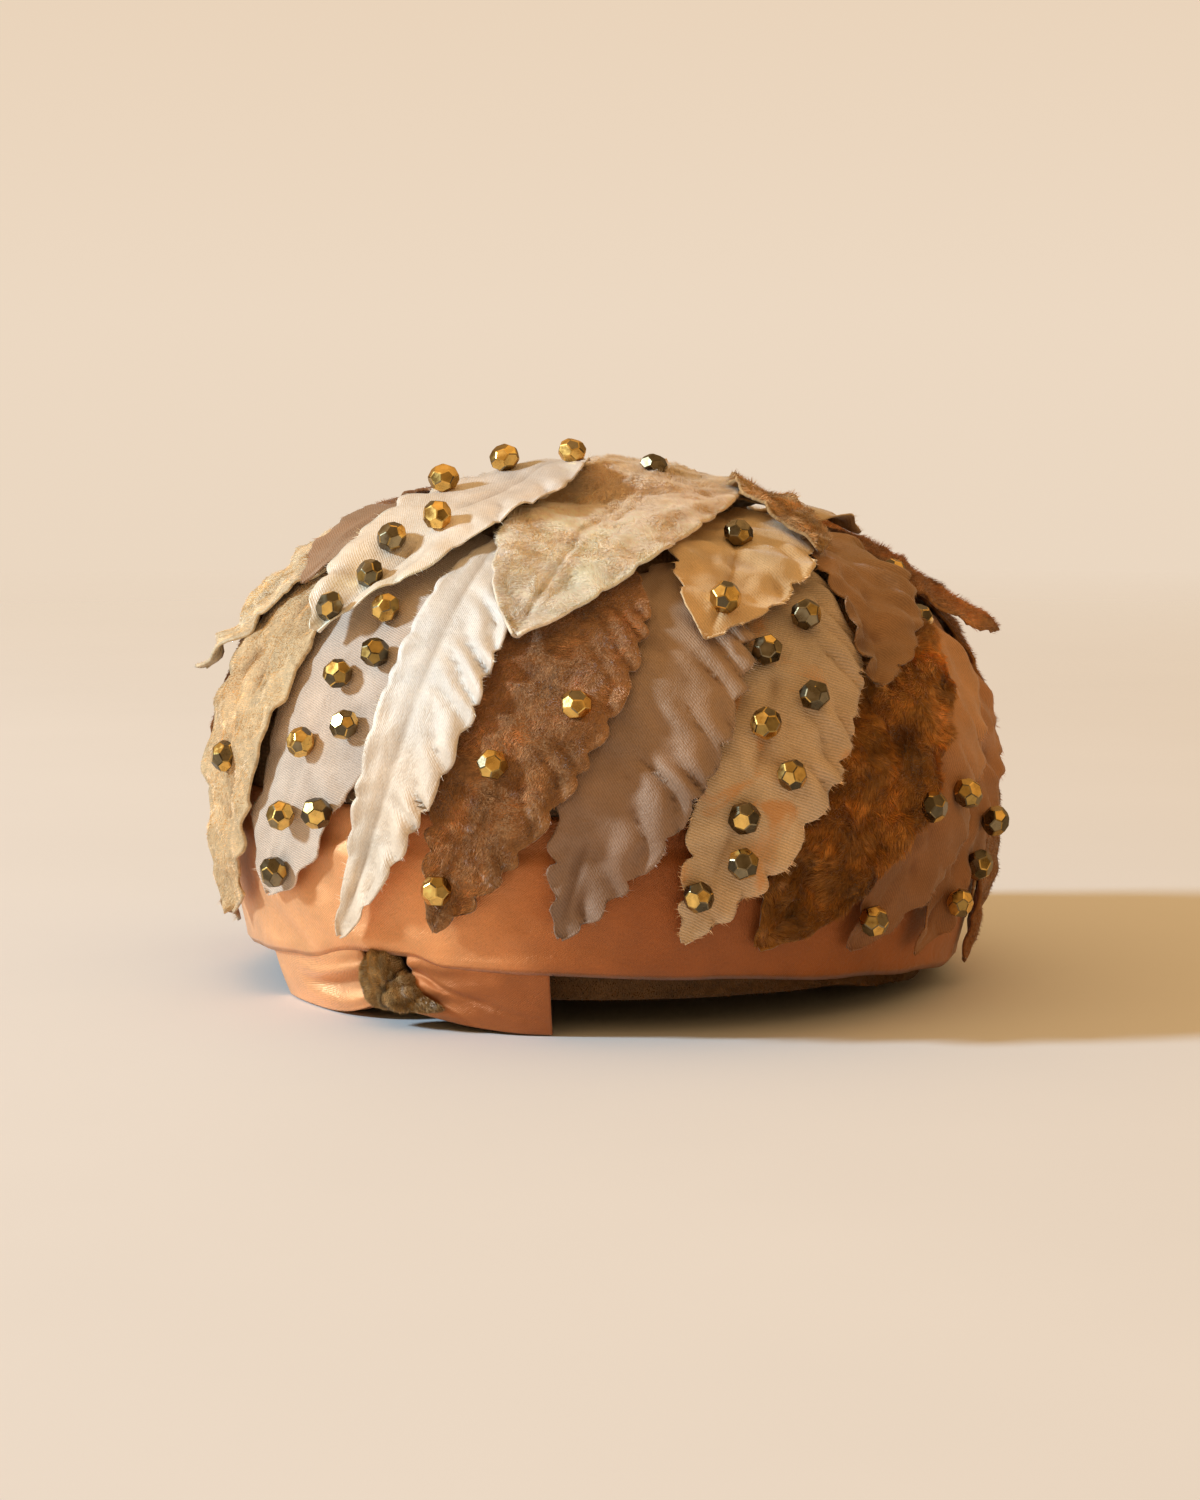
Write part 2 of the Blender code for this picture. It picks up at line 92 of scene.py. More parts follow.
# Leaves in the order they are sewn on. A leaf hangs from its root to its tip,
# its midrib bows to the right, and steps are the rows of its solid
LEAF_COLUMNS = "name cloth root_azimuth root_fall tip_azimuth tip_fall bow width steps"
Leaf = namedtuple("Leaf", LEAF_COLUMNS, defaults=(7,))
BEHIND_CLOTHS = ("satin_mauve", "velvet_tan", "taffeta_pink", "velvet_brown", "satin_ochre")
BEHIND_TURN = 21.5
BEHIND_LEAVES = [
    (f"lower_leaf_{10 + n}", BEHIND_CLOTHS[n % 5], 96 + BEHIND_TURN * n, 52)
    + (74 + BEHIND_TURN * n, 109.5, 4, 48, 6)
    for n in range(9, 0, -1)
]
SHOWN_LEAVES = [
    ("lower_leaf_10", "velvet_brown", 98, 66, 74, 112.5, 2, 38),
    ("lower_leaf_09", "satin_mauve", 88, 62, 51, 108, 0, 38),
    ("lower_leaf_08", "satin_mauve", 76, 58, 36.5, 105.5, 1, 40),
    ("lower_leaf_07", "velvet_amber", 60, 56, 21.5, 104, 1, 46),
    ("lower_leaf_06", "ribbed_khaki", 41, 44, 10.5, 102.5, 4, 43),
    ("lower_leaf_05", "satin_mauve", 19, 46, -6, 102, 2, 43),
    ("lower_leaf_04", "velvet_brown", 2, 46, -24, 102, 3, 42),
    ("lower_leaf_02", "taffeta_pink", -33, 38, -56, 100, 7, 51),
    ("lower_leaf_03", "satin_ivory", -23, 42, -39, 103.5, 12, 29),
    ("lower_leaf_01", "velvet_tan", -64, 47, -71, 104.5, 2, 50),
    ("upper_leaf_14", "velvet_tan", 266, 28, 246, 70, 3, 50),
    ("upper_leaf_13", "satin_ochre", 234, 26, 214, 70, 3, 52),
    ("upper_leaf_12", "velvet_brown", 202, 26, 182, 70, 3, 52),
    ("upper_leaf_11", "taffeta_pink", 170, 26, 150, 70, 3, 52),
    ("upper_leaf_10", "velvet_cream", 138, 28, 118, 72, 3, 50),
    ("upper_leaf_09", "velvet_tan", 104, 36, 90, 80, 3, 40),
    ("upper_leaf_08", "velvet_brown", 76, 33, 86, 67, -3, 40),
    ("upper_leaf_07", "satin_mauve", 66, 36, 42, 70, 5, 34),
    ("upper_leaf_06", "satin_ochre", 52, 27, 15, 62, 3, 44),
    ("upper_leaf_01", "velvet_tan", -62, 32, -86, 72, 2, 36),
    ("upper_leaf_02", "satin_mauve", -92, 16, -60, 56, -2, 40),
    ("top_leaf_1", "velvet_brown", -40, 4, -122, 50, 4, 50),
    ("top_leaf_2", "satin_ochre", 10, 5, 170, 50, 4, 54),
    ("top_leaf_3", "satin_ochre", -60, 6, 86, 44, 2, 54),
    ("upper_leaf_05", "velvet_cream", 95, 13, -13, 62, 0, 62),
    ("upper_leaf_04", "velvet_amber", 78, 24, 46, 48, 0, 26),
    ("upper_leaf_03", "satin_mauve", -36, 9, -48, 63, 6, 46),
]
LEAVES = [Leaf(*row) for row in BEHIND_LEAVES + SHOWN_LEAVES]

# Shape of a leaf's outline, and half its least width at root and tip in mm
LEAF_SWELL, LEAF_TAPER = 0.42, 0.72
LEAF_ROOT_HALF, LEAF_TIP_HALF = 5.0, 1.3

# Faces of a leaf: how much wider than long, and how much coarser from an azimuth on
FACE_ASPECT = 1.9
BEHIND_COARSER, BEHIND_FROM = 1.6, 120

# How a leaf was pressed and has worn: its colours, scallops along each edge and
# their depth in mm, gathers and their height in mm left and right of the midrib,
# the midrib's place across, then in mm the crumpling, edge lift, fraying, tears,
# and last the share of a round tip, the tip's curl in mm and how far the left
# edge is smooth
LOOK_COLUMNS = (
    "tip root scallops depth folds left right ridge crumple lift fray tear blunt curl smooth"
)
Look = namedtuple("Look", LOOK_COLUMNS, defaults=(0.0, 0.0, 0.0))
IVORY, MAUVE, OCHRE = (0.92, 0.82, 0.69), (0.42, 0.28, 0.20), (0.58, 0.42, 0.24)
PINK, KHAKI, CREAM = (0.66, 0.56, 0.47), (0.76, 0.54, 0.32), (0.84, 0.71, 0.51)
TAN, BROWN, AMBER = (0.50, 0.36, 0.20), (0.30, 0.13, 0.045), (0.11, 0.032, 0.006)
CLOTH_LOOKS = {
    "satin_ivory": Look(IVORY, (0.88, 0.80, 0.70), 13, 1.5, 13, 0.5, 1.5, -0.35, 0.3, 1.4, 0.2, 0.1),
    "satin_mauve": Look(MAUVE, (0.46, 0.33, 0.24), 11, 1.0, 8, 0.5, 0.9, 0.0, 0.7, 1.2, 0.6, 0.4),
    "satin_ochre": Look(OCHRE, (0.46, 0.31, 0.16), 10, 1.1, 8, 0.5, 0.7, 0.0, 0.9, 1.4, 0.7, 0.5),
    "taffeta_pink": Look(PINK, (0.56, 0.48, 0.42), 10, 0.9, 7, 0.3, 0.5, 0.0, 0.7, 1.2, 0.3, 0.2),
    "ribbed_khaki": Look(KHAKI, (0.62, 0.46, 0.30), 12, 1.0, 9, 0.3, 0.6, 0.0, 0.7, 1.4, 1.0, 0.6),
    "velvet_cream": Look(CREAM, (0.58, 0.43, 0.26), 9, 1.2, 6, 0.3, 0.3, 0.0, 1.3, 1.4, 0.0, 0.4),
    "velvet_tan": Look(TAN, (0.42, 0.30, 0.17), 10, 0.8, 7, 0.4, 0.4, 0.0, 1.0, 1.2, 0.0, 0.4),
    "velvet_brown": Look(BROWN, (0.24, 0.10, 0.035), 12, 1.1, 8, 0.4, 0.5, 0.0, 0.9, 1.0, 0.0, 0.3),
    "velvet_amber": Look(AMBER, (0.42, 0.18, 0.03), 8, 0.6, 6, 0.3, 0.3, 0.0, 1.3, 1.0, 0.0, 0.5),
}

# Where a leaf's look differs from its cloth's
LEAF_CHANGES = {
    "lower_leaf_01": dict(
        tip=(0.74, 0.53, 0.29), root=(0.78, 0.57, 0.32), folds=4, left=0.9, right=1.2,
        ridge=0.2, crumple=1.1, blunt=0.8,
    ),
    "lower_leaf_02": dict(
        tip=(0.76, 0.60, 0.46), root=(0.70, 0.57, 0.46), depth=1.4, crumple=0.6, blunt=0.8
    ),
    "lower_leaf_03": dict(tip=(0.80, 0.66, 0.50), folds=13, right=2.4, depth=2.3, blunt=0.55, smooth=0.75),
    "lower_leaf_04": dict(
        tip=(0.37, 0.175, 0.06), root=(0.46, 0.24, 0.105), scallops=12, depth=2.8, folds=12,
        left=0.3, right=1.0, blunt=0.25, ridge=-0.2, lift=0.6, tear=0.05,
    ),
    # Its darker tip colour is painted shade where the leaf curves under at its lower end
    "lower_leaf_05": dict(
        tip=(0.33, 0.20, 0.125), root=(0.46, 0.31, 0.20), scallops=12, depth=2.7, folds=11,
        left=0.7, right=2.1, ridge=-0.3, crumple=0.5, lift=1.4, blunt=0.25,
    ),
    "lower_leaf_06": dict(
        scallops=11, depth=2.6, folds=12, right=2.0, ridge=-0.15, crumple=0.9, lift=1.6, blunt=0.3
    ),
    "lower_leaf_07": dict(tip=(0.30, 0.118, 0.015), root=(0.45, 0.205, 0.04), crumple=2.4),
    # The darker, redder tips of these two leaves are painted shade, low on the hat's shaded right side
    "lower_leaf_08": dict(
        tip=(0.29, 0.13, 0.05), root=(0.62, 0.31, 0.13), folds=5, right=1.4, left=0.9, tear=0.7, crumple=1.3
    ),
    "lower_leaf_09": dict(tip=(0.32, 0.14, 0.05), root=(0.50, 0.23, 0.09), tear=0.9, crumple=1.8),
    "lower_leaf_10": dict(crumple=1.8, tear=0.8, blunt=0.3),
    "upper_leaf_01": dict(
        tip=(0.84, 0.66, 0.42), root=(0.74, 0.58, 0.37), crumple=1.8, tear=0.9, curl=3.0, blunt=0.5
    ),
    "upper_leaf_02": dict(tip=(0.40, 0.24, 0.14), root=(0.30, 0.17, 0.09), crumple=1.0),
    "upper_leaf_03": dict(
        tip=(0.98, 0.85, 0.68), root=(0.80, 0.70, 0.60), scallops=7, depth=2.0, folds=7, right=1.4,
        lift=2.2, fray=0.2, tear=0.1, crumple=0.5,
    ),
    "upper_leaf_04": dict(tip=(0.46, 0.28, 0.12), root=(0.52, 0.33, 0.15), crumple=1.8, tear=0.9, blunt=0.4),
    "upper_leaf_05": dict(
        tip=(0.98, 0.82, 0.62), root=(0.82, 0.61, 0.37), crumple=0.9, lift=2.2, blunt=0.25
    ),
    "upper_leaf_06": dict(
        tip=(0.72, 0.50, 0.26), root=(0.74, 0.55, 0.31), scallops=6, depth=2.2, crumple=1.1,
        lift=1.6, tear=0.9, blunt=0.35,
    ),
    "upper_leaf_07": dict(
        tip=(0.32, 0.165, 0.065), root=(0.40, 0.22, 0.10), crumple=2.4, tear=1.2, lift=1.8, blunt=0.5
    ),
    "upper_leaf_08": dict(tip=(0.40, 0.19, 0.06), crumple=1.6, tear=1.4, lift=1.5, blunt=0.6, curl=1.0),
    "upper_leaf_09": dict(
        tip=(0.36, 0.15, 0.035), root=(0.38, 0.17, 0.05), crumple=1.3, tear=1.4, lift=0.8, blunt=0.6
    ),
    "upper_leaf_10": dict(crumple=1.8, tear=1.0, blunt=0.4),
    "top_leaf_3": dict(tip=(0.56, 0.39, 0.20), root=(0.62, 0.45, 0.25), crumple=1.8, tear=0.9, blunt=0.4),
}

# Leaves whose cloth is finished like another
LEAF_FINISH = {"upper_leaf_03": "satin_ivory"}

# Pile: fibres on each square mm, their length in mm, how far they lie over, how strongly streaks of painted
# sheen brighten them, and how much their way varies
Pile = namedtuple("Pile", "density length sweep streak tousle")
CLOTH_PILES = {
    "velvet_cream": Pile(1.5, 1.6, 1.0, 0.25, 3.0),
    "velvet_tan": Pile(1.3, 0.9, 1.3, 0.3, 2.0),
    "velvet_brown": Pile(1.3, 1.1, 1.2, 0.45, 2.0),
    "velvet_amber": Pile(4.0, 2.0, 1.4, 0.5, 3.0),
}
LEAF_PILES = {
    "lower_leaf_01": Pile(3.6, 0.8, 1.4, 0.2, 2.0),
    "lower_leaf_04": Pile(9.3, 1.1, 1.3, 0.55, 2.2),
    "lower_leaf_07": Pile(8.5, 2.4, 1.5, 0.6, 3.0),
    "upper_leaf_01": Pile(5.0, 0.9, 1.3, 0.2, 2.0),
    "upper_leaf_05": Pile(9.5, 1.7, 1.5, 0.06, 0.9),
    "upper_leaf_08": Pile(5.5, 1.9, 1.2, 0.5, 3.0),
    "upper_leaf_09": Pile(3.5, 1.9, 1.2, 0.4, 3.5),
}
UNDERBAND_PILE = Pile(4.5, 0.9, 0, 0, 1.5)
KNOT_PILE = Pile(16.0, 0.75, 0, 0, 1.5)
EDGE_THREADS = Pile(15.0, 1.8, 0, 0, 2.5)

# Radius in mm of a fibre and of a loose thread at its foot
FIBRE_THICKNESS, THREAD_THICKNESS = 0.09, 0.07

# Beads: azimuth, fall, share of gold in the metal. Loose beads are pieces of their own, each in the place of
# a solid of the frame, and sewn beads are made as one piece for each leaf under them
TAFFETA_BEADS = (
    (-38, 58, 0.8), (-36, 65, 0.2), (-43, 68, 0.7), (-39, 75, 0.3), (-47, 78, 0.9),
    (-41, 87, 0.2), (-49, 88, 0.7), (-51, 96, 0.3), (-59, 98, 0.3),
)
RIBBED_BEADS = (
    (34, 59, 0.2), (25, 64, 0.2), (30, 71, 0.1), (22, 74, 0.6), (25, 81, 0.4),
    (18, 86, 0.2), (18, 92, 0.3), (12, 96, 0.5),
)
LOOSE_BEADS = {"taffeta_bead": TAFFETA_BEADS, "ribbed_bead": RIBBED_BEADS}
SEWN_BEADS = (
    (-58, 19, 0.9), (-59, 30, 0.95), (-39, 41, 0.9), (-47, 46, 0.5), (-45, 53, 0.3),
    (-46, 60, 0.2), (-24, 13, 0.9), (-4, 71, 0.8), (-15, 79, 0.7), (-23, 96, 0.9),
    (32, 41, 0.2), (19, 56, 0.7), (32, 15, 0.2), (73, 53, 0.6), (65, 61, 0.5),
    (48, 87, 0.3), (58, 86, 0.4), (38, 101, 0.4), (69, 91, 0.3), (66, 97, 0.5),
    (58, 101, 0.6), (-68, 82, 0.4),
)

# Leaves behind that have beads, and the beads' places along each
BEHIND_BEADED = ("lower_leaf_12", "lower_leaf_15", "lower_leaf_18")
BEHIND_BEADS_ALONG = (0.62, 0.82)

# How deep in mm a bead sits in its leaf, and how much deeper on velvet
LOOSE_SINK, SEWN_SINK, VELVET_SINK = 0.3, 0.7, 2.0

# Facets of a bead: the fall, turn and reach of each row of six, and its flat ends
BEAD_ROWS = ((47, 0, 0.97), (90, 0.5, 1.0), (133, 0, 0.97))
BEAD_END = 0.86

# Bow: azimuths of the loop and the end, the ribbon's wall and its lengths in mm round
# the loop and along the end, and the knot's azimuth and how much paler its velvet is
LOOP_FROM, LOOP_TO = -67.0, -39.0
FLAP_FROM, FLAP_TO = -30.0, -8.0
RIBBON_WALL = 0.7
LOOP_TURN, FLAP_REACH = 90, 42
KNOT_AZIMUTH = -33.5
KNOT_TONE = np.array((1.9, 2.5, 3.2))

# Painted light on the copper satin round the hat, paler and whiter on the lit left and darker at the shaded
# front and right: azimuth, then factors of red, green and blue
COPPER_PAINTED_LIGHT = np.array([
    (-180, 1.0, 0.95, 0.9),
    (-110, 1.3, 1.4, 1.5),
    (-75, 1.95, 3.0, 4.8),
    (-50, 1.98, 2.9, 4.3),
    (-24, 1.9, 2.4, 3.0),
    (-8, 1.0, 0.95, 0.8),
    (10, 0.72, 0.62, 0.45),
    (60, 0.85, 0.8, 0.6),
    (180, 1.0, 0.95, 0.9),
])

# Length round the wall for each radian, in mm
WALL_REACH = 110

# Fields of a piece's mesh: flat place in mm, way of its fibres, how thickly they
# stand and colour
FIELDS = {
    "lay": ("FLOAT_VECTOR", "vector"),
    "lean": ("FLOAT_VECTOR", "vector"),
    "nap": ("FLOAT", "value"),
    "shade": ("FLOAT_COLOR", "color"),
}

# Inputs of the pile's geometry nodes, by their kind
PILE_SOCKETS = {
    "Geometry": ("Geometry",),
    "Float": ("Density", "Length", "Thickness", "Tousle"),
    "Int": ("Seed",),
    "Material": ("Material",),
}

# Scale of a wave texture whose bands lie 1 apart
BAND_SCALE = 0.314

# Stage: the floor's half side in mm, then in metres and degrees the light's place
# and size, and the camera's. The backdrop has its heights and their colours
FLOOR_HALF = 2000.0
KEY_SIZE, KEY_FAR, KEY_AIM = 0.55, 4.5, 0.06
KEY_AZIMUTH, KEY_HEIGHT = -82, 27
KEY_COLOUR = (0.63, 0.83, 1.0)
BACKDROP = ((0.40, (0.80, 0.66, 0.52)), (0.5, (0.84, 0.69, 0.54)), (0.62, (0.79, 0.60, 0.42)))
CAMERA_TILT, CAMERA_FAR = 7.0, 1.047
CAMERA_AIM = (-0.0006, 0, 0.0655)


def length_setting(name, description, value):
    return FloatProperty(name=name, description=description, default=value, subtype="DISTANCE")


def colour_setting(name, description, value):
    return FloatVectorProperty(name=name, description=description, default=value, subtype="COLOR")


class HatCloths(bpy.types.PropertyGroup):
    """Cloth walls, mesh fineness and the colours of the band, bow and crown."""

    satin_wall: length_setting("Satin", "Thickness of a satin leaf", 0.0005)
    velvet_wall: length_setting("Velvet", "Thickness of a velvet leaf", 0.0009)
    step: length_setting("Step", "Length of a leaf's faces", 0.00105)
    copper: colour_setting("Copper satin", "Colour of the band and bow", (0.50, 0.17, 0.05))
    olive: colour_setting("Olive velvet", "Colour of the underband and knot", (0.17, 0.08, 0.024))
    crown: colour_setting("Crown cloth", "Colour of the crown", (0.33, 0.22, 0.13))


class HatBeads(bpy.types.PropertyGroup):
    """Size and metals of the beads."""

    radius: length_setting("Radius", "Radius of a bead", 0.0039)
    gold: colour_setting("Gold", "Colour of gilded facets", (0.80, 0.52, 0.15))
    pewter: colour_setting("Pewter", "Colour of worn facets", (0.24, 0.19, 0.11))
    seed: IntProperty(name="Seed", description="Choice of worn facets and turns", default=7)


class HatStage(bpy.types.PropertyGroup):
    """The floor and the light."""

    floor: colour_setting("Floor", "Colour of the floor", (0.80, 0.80, 0.80))
    key: FloatProperty(
        name="Key", description="Power of the light from the left", default=200.0, unit="POWER"
    )
    overhead: colour_setting("Overhead", "Colour of the light from above", (1.0, 0.64, 0.30))
    around: colour_setting("Around", "Colour of the light from the sides", (0.26, 0.15, 0.06))


def towards(azimuth, fall):
    """Directions from the dome's centre."""
    turn, down = np.radians(azimuth), np.radians(fall)
    flat = np.sin(down)
    return np.stack((flat * np.sin(turn), -flat * np.cos(turn), np.cos(down) + 0 * turn), -1)


def dome_radius(way):
    """From the dome's centre to its outer face along each direction."""
    x, y, z = way[..., 0], way[..., 1], way[..., 2]
    power = np.where(z > 0, SQUARENESS, 2.0)
    height = np.where(z > 0, RISE, DROP)
    flat = np.hypot((x - LEAN * np.maximum(z, 0)) / HALF_WIDTH, y / HALF_DEPTH)
    return (flat**power + np.abs(z / height) ** power) ** (-1 / power)


def on_dome(way, out):
    """Points along directions, set out from the dome."""
    return CENTRE + way * (dome_radius(way) + out)[..., None]


def on_wall(azimuth, z, out):
    """Points of the dome's wall at azimuths and heights, set out sideways."""
    turn = np.radians(azimuth)
    x, y = np.sin(turn), -np.cos(turn)
    height = z - CENTRE[2]
    power = np.where(height > 0, SQUARENESS, 2.0)
    reach = np.where(height > 0, RISE, DROP)
    level = (1 - np.abs(height / reach) ** power) ** (1 / power)
    radius = level / np.hypot(x / HALF_WIDTH, y / HALF_DEPTH) + out
    return np.stack((CENTRE[0] + x * radius, CENTRE[1] + y * radius, z + 0 * radius), -1)


def flat_grid(across, along):
    """Places on flat cloth, in mm."""
    return np.stack((across + 0 * along, along + 0 * across), -1)


def as_lay(flat):
    """Flat places as the lay of a mesh, which has three numbers."""
    return np.concatenate((flat, 0 * flat[..., :1]), -1)


def round_wall(azimuth, heights):
    """Flat places on the wall: the way round it and the height."""
    return flat_grid(np.radians(azimuth) * WALL_REACH, heights)


def hem(azimuth, column):
    """Heights of a lower edge: column 1 is satin and 2 is velvet."""
    azimuth = (np.asarray(azimuth, float) + 180) % 360 - 180
    low = np.clip(np.searchsorted(HEMS[:, 0], azimuth, "right") - 1, 0, len(HEMS) - 2)
    part = (azimuth - HEMS[low, 0]) / (HEMS[low + 1, 0] - HEMS[low, 0])
    part = part * part * (3 - 2 * part)
    return HEMS[low, column] + (HEMS[low + 1, column] - HEMS[low, column]) * part


def ease(low, high, value):
    """A smooth rise from 0 at low to 1 at high."""
    part = np.clip((value - low) / (high - low), 0, 1)
    return part * part * (3 - 2 * part)


def hump(value, width):
    """1 where the value is 0, falling smoothly to nothing on both sides."""
    return np.exp(-((value / width) ** 2))


def waves(points, size, seed, count=14):
    """Smooth noise from -1 to 1 over points, with bumps about size across."""
    draw = np.random.default_rng(seed)
    ways = draw.normal(size=(count, points.shape[-1]))
    pace = draw.uniform(0.5, 1.5, (count, 1)) * math.pi / size
    ways *= pace / np.linalg.norm(ways, axis=1, keepdims=True)
    return np.sin(points @ ways.T + draw.uniform(0, 2 * math.pi, count)).mean(-1) * math.sqrt(count) / 1.8


def resample(values, count):
    """Rows of values spread smoothly over count rows."""
    last = len(values) - 1
    place = np.linspace(0, last, count)
    low = np.minimum(place.astype(int), last - 1)
    f = (place - low)[:, None]
    a, b, c, d = (values[np.clip(low + k, 0, last)] for k in (-1, 0, 1, 2))
    square, cube = 2 * a - 5 * b + 4 * c - d, 3 * b - a - 3 * c + d
    return 0.5 * (2 * b + (c - a) * f + square * f**2 + cube * f**3)


def smooth_grid(grid, rows, columns):
    """A coarse grid spread smoothly over rows and columns."""
    return resample(resample(grid, rows).T, columns).T


def straight_grid(grid, rows, columns):
    """A coarse grid stretched straight over rows and columns."""
    i = np.linspace(0, grid.shape[0] - 1, rows)
    j = np.linspace(0, grid.shape[1] - 1, columns)
    wide = np.array([np.interp(j, np.arange(grid.shape[1]), row) for row in grid])
    return np.array([np.interp(i, np.arange(grid.shape[0]), column) for column in wide.T]).T


def unit(vectors):
    return vectors / np.maximum(np.linalg.norm(vectors, axis=-1, keepdims=True), 1e-9)


def face_normals(points):
    """Outward directions of a grid whose rows run down and columns run right."""
    return unit(np.cross(np.gradient(points, axis=0), np.gradient(points, axis=1)))


def spin(turn):
    """The matrix of a turn about Z."""
    c, s = math.cos(turn), math.sin(turn)
    return np.array(((c, -s, 0), (s, c, 0), (0, 0, 1)))


def grid_faces(rows, columns, start=0, wrap=(0, 0)):
    """Faces of a grid of points, joined round along the axes that wrap."""
    index = start + np.arange(rows * columns).reshape(rows, columns)
    index = np.pad(index, [(0, wrap[0]), (0, wrap[1])], mode="wrap")
    corners = (index[:-1, :-1], index[1:, :-1], index[1:, 1:], index[:-1, 1:])
    return np.stack([c.ravel() for c in corners], -1)


def node_tree_of(name):
    """A ray-casting tree of a solid of the frame."""
    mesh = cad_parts[name].data
    mesh.calc_loop_triangles()
    points = [v.co.copy() for v in mesh.vertices]
    return BVHTree.FromPolygons(points, [list(t.vertices) for t in mesh.loop_triangles])


def add_fields(made, domain="POINT", **fields):
    """Stores fields on a piece: lay, lean, nap and shade."""
    for name, values in fields.items():
        kind, entry = FIELDS[name]
        values = np.asarray(values)
        if name == "shade":
            values = np.clip(values, 0, 1)
            values = np.concatenate((values, np.ones((*values.shape[:-1], 1))), -1)
        stored = made.data.attributes.new(name, kind, domain)
        stored.data.foreach_set(entry, np.ascontiguousarray(values, np.float32).ravel())


def new_object(name, points, faces, material, smooth=True):
    """A mesh piece from points in mm."""
    mesh = bpy.data.meshes.new(name)
    faces = faces.tolist() if isinstance(faces, np.ndarray) else faces
    mesh.from_pydata((np.asarray(points).reshape(-1, 3) * MM).tolist(), [], faces)
    if smooth:
        mesh.shade_smooth()
    else:
        mesh.shade_flat()
    mesh.materials.append(material)
    return linked(name, mesh)


def linked(name, data):
    """A new object of the scene."""
    made = bpy.data.objects.new(name, data)
    bpy.context.scene.collection.objects.link(made)
    return made


def two_sided(name, top, wall, lay, shade, material):
    """A sheet of cloth with a thickness, from the grid of its outer face."""
    rows, columns = top.shape[:2]
    count = rows * columns
    index = np.arange(count).reshape(rows, columns)
    ring = np.concatenate((index[0, :-1], index[:-1, -1], index[-1, :0:-1], index[:0:-1, 0]))
    after = np.roll(ring, -1)
    rim = np.stack((ring, after, after + count, ring + count), -1)
    back = grid_faces(rows, columns, count)[:, ::-1]
    faces = np.concatenate((grid_faces(rows, columns), back, rim))
    made = new_object(name, (top, top - face_normals(top) * wall), faces, material)
    add_fields(made, lay=(lay, lay), shade=(shade, shade))
    return made


def put_on(piece, slot, *nodes):
    """Places a finished piece on the hat."""
    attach(piece, "root")
    if nodes:
        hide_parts(*nodes)
    return piece


class Nodes:
    """Adds and joins the nodes of a tree with few words."""

    def __init__(self, tree):
        self.tree = tree

    def join(self, value, socket):
        """Links an output to a socket, or sets the socket's own value."""
        if isinstance(value, bpy.types.NodeSocket):
            self.tree.links.new(value, socket)
        else:
            socket.default_value = value

    def add(self, kind, *values, settings=None, **named):
        """A node with values at its first sockets and at named ones."""
        made = self.tree.nodes.new(kind)
        for key, value in (settings or {}).items():
            setattr(made, key, value)
        for index, value in enumerate(values):
            self.join(value, made.inputs[index])
        for key, value in named.items():
            self.join(value, made.inputs[key.replace("_", " ")])
        return made

    def coordinates(self, kind="Object"):
        return self.add("ShaderNodeTexCoord").outputs[kind]

    def attribute(self, name, output="Vector"):
        return self.add("ShaderNodeAttribute", settings={"attribute_name": name}).outputs[output]

    def plain(self, colour):
        made = self.add("ShaderNodeRGB").outputs[0]
        made.default_value = (*colour, 1)
        return made

    def mapped(self, vector, **named):
        return self.add("ShaderNodeMapping", vector, **named).outputs[0]

    def noise(self, vector, scale, detail=3.0, distortion=0.0):
        values = {"Vector": vector, "Scale": scale, "Detail": detail, "Distortion": distortion}
        return self.add("ShaderNodeTexNoise", **values).outputs["Fac"]

    def bands(self, vector, scale, way="X", **named):
        named.update(Vector=vector, Scale=scale)
        return self.add("ShaderNodeTexWave", settings={"bands_direction": way}, **named).outputs["Fac"]

    def maths(self, operation, *values):
        return self.add("ShaderNodeMath", *values, settings={"operation": operation}).outputs[0]

    def vectors(self, operation, *values, **named):
        return self.add("ShaderNodeVectorMath", *values, settings={"operation": operation}, **named)

    def product(self, *values):
        total = values[0]
        for value in values[1:]:
            total = self.maths("MULTIPLY", total, value)
        return total

    def ramp(self, value, low, high, to_low=0.0, to_high=1.0):
        return self.add("ShaderNodeMapRange", value, low, high, to_low, to_high).outputs[0]

    def scaled(self, colour, factor):
        return self.vectors("SCALE", colour, Scale=factor).outputs[0]

    def mixed(self, factor, first, second):
        made = self.add("ShaderNodeMix", factor, settings={"data_type": "RGBA"})
        self.join(first, made.inputs[6])
        self.join(second, made.inputs[7])
        return made.outputs[2]

    def bumps(self, *layers):
        """Bumps one over another: each has its height, strength and distance in metres."""
        normal = None
        for height, strength, distance in layers:
            made = self.add("ShaderNodeBump", Height=height, Strength=strength, Distance=distance)
            if normal is not None:
                self.join(normal, made.inputs["Normal"])
            normal = made.outputs[0]
        return normal


class Surface(Nodes):
    """A material and the nodes of its surface."""

    def __init__(self, name):
        self.material = bpy.data.materials.new(name)
        self.material.use_nodes = True
        super().__init__(self.material.node_tree)
        self.shader = self.tree.nodes["Principled BSDF"]

    def finish(self, **named):
        for key, value in named.items():
            self.join(value, self.shader.inputs[key.replace("_", " ")])
        return self.material


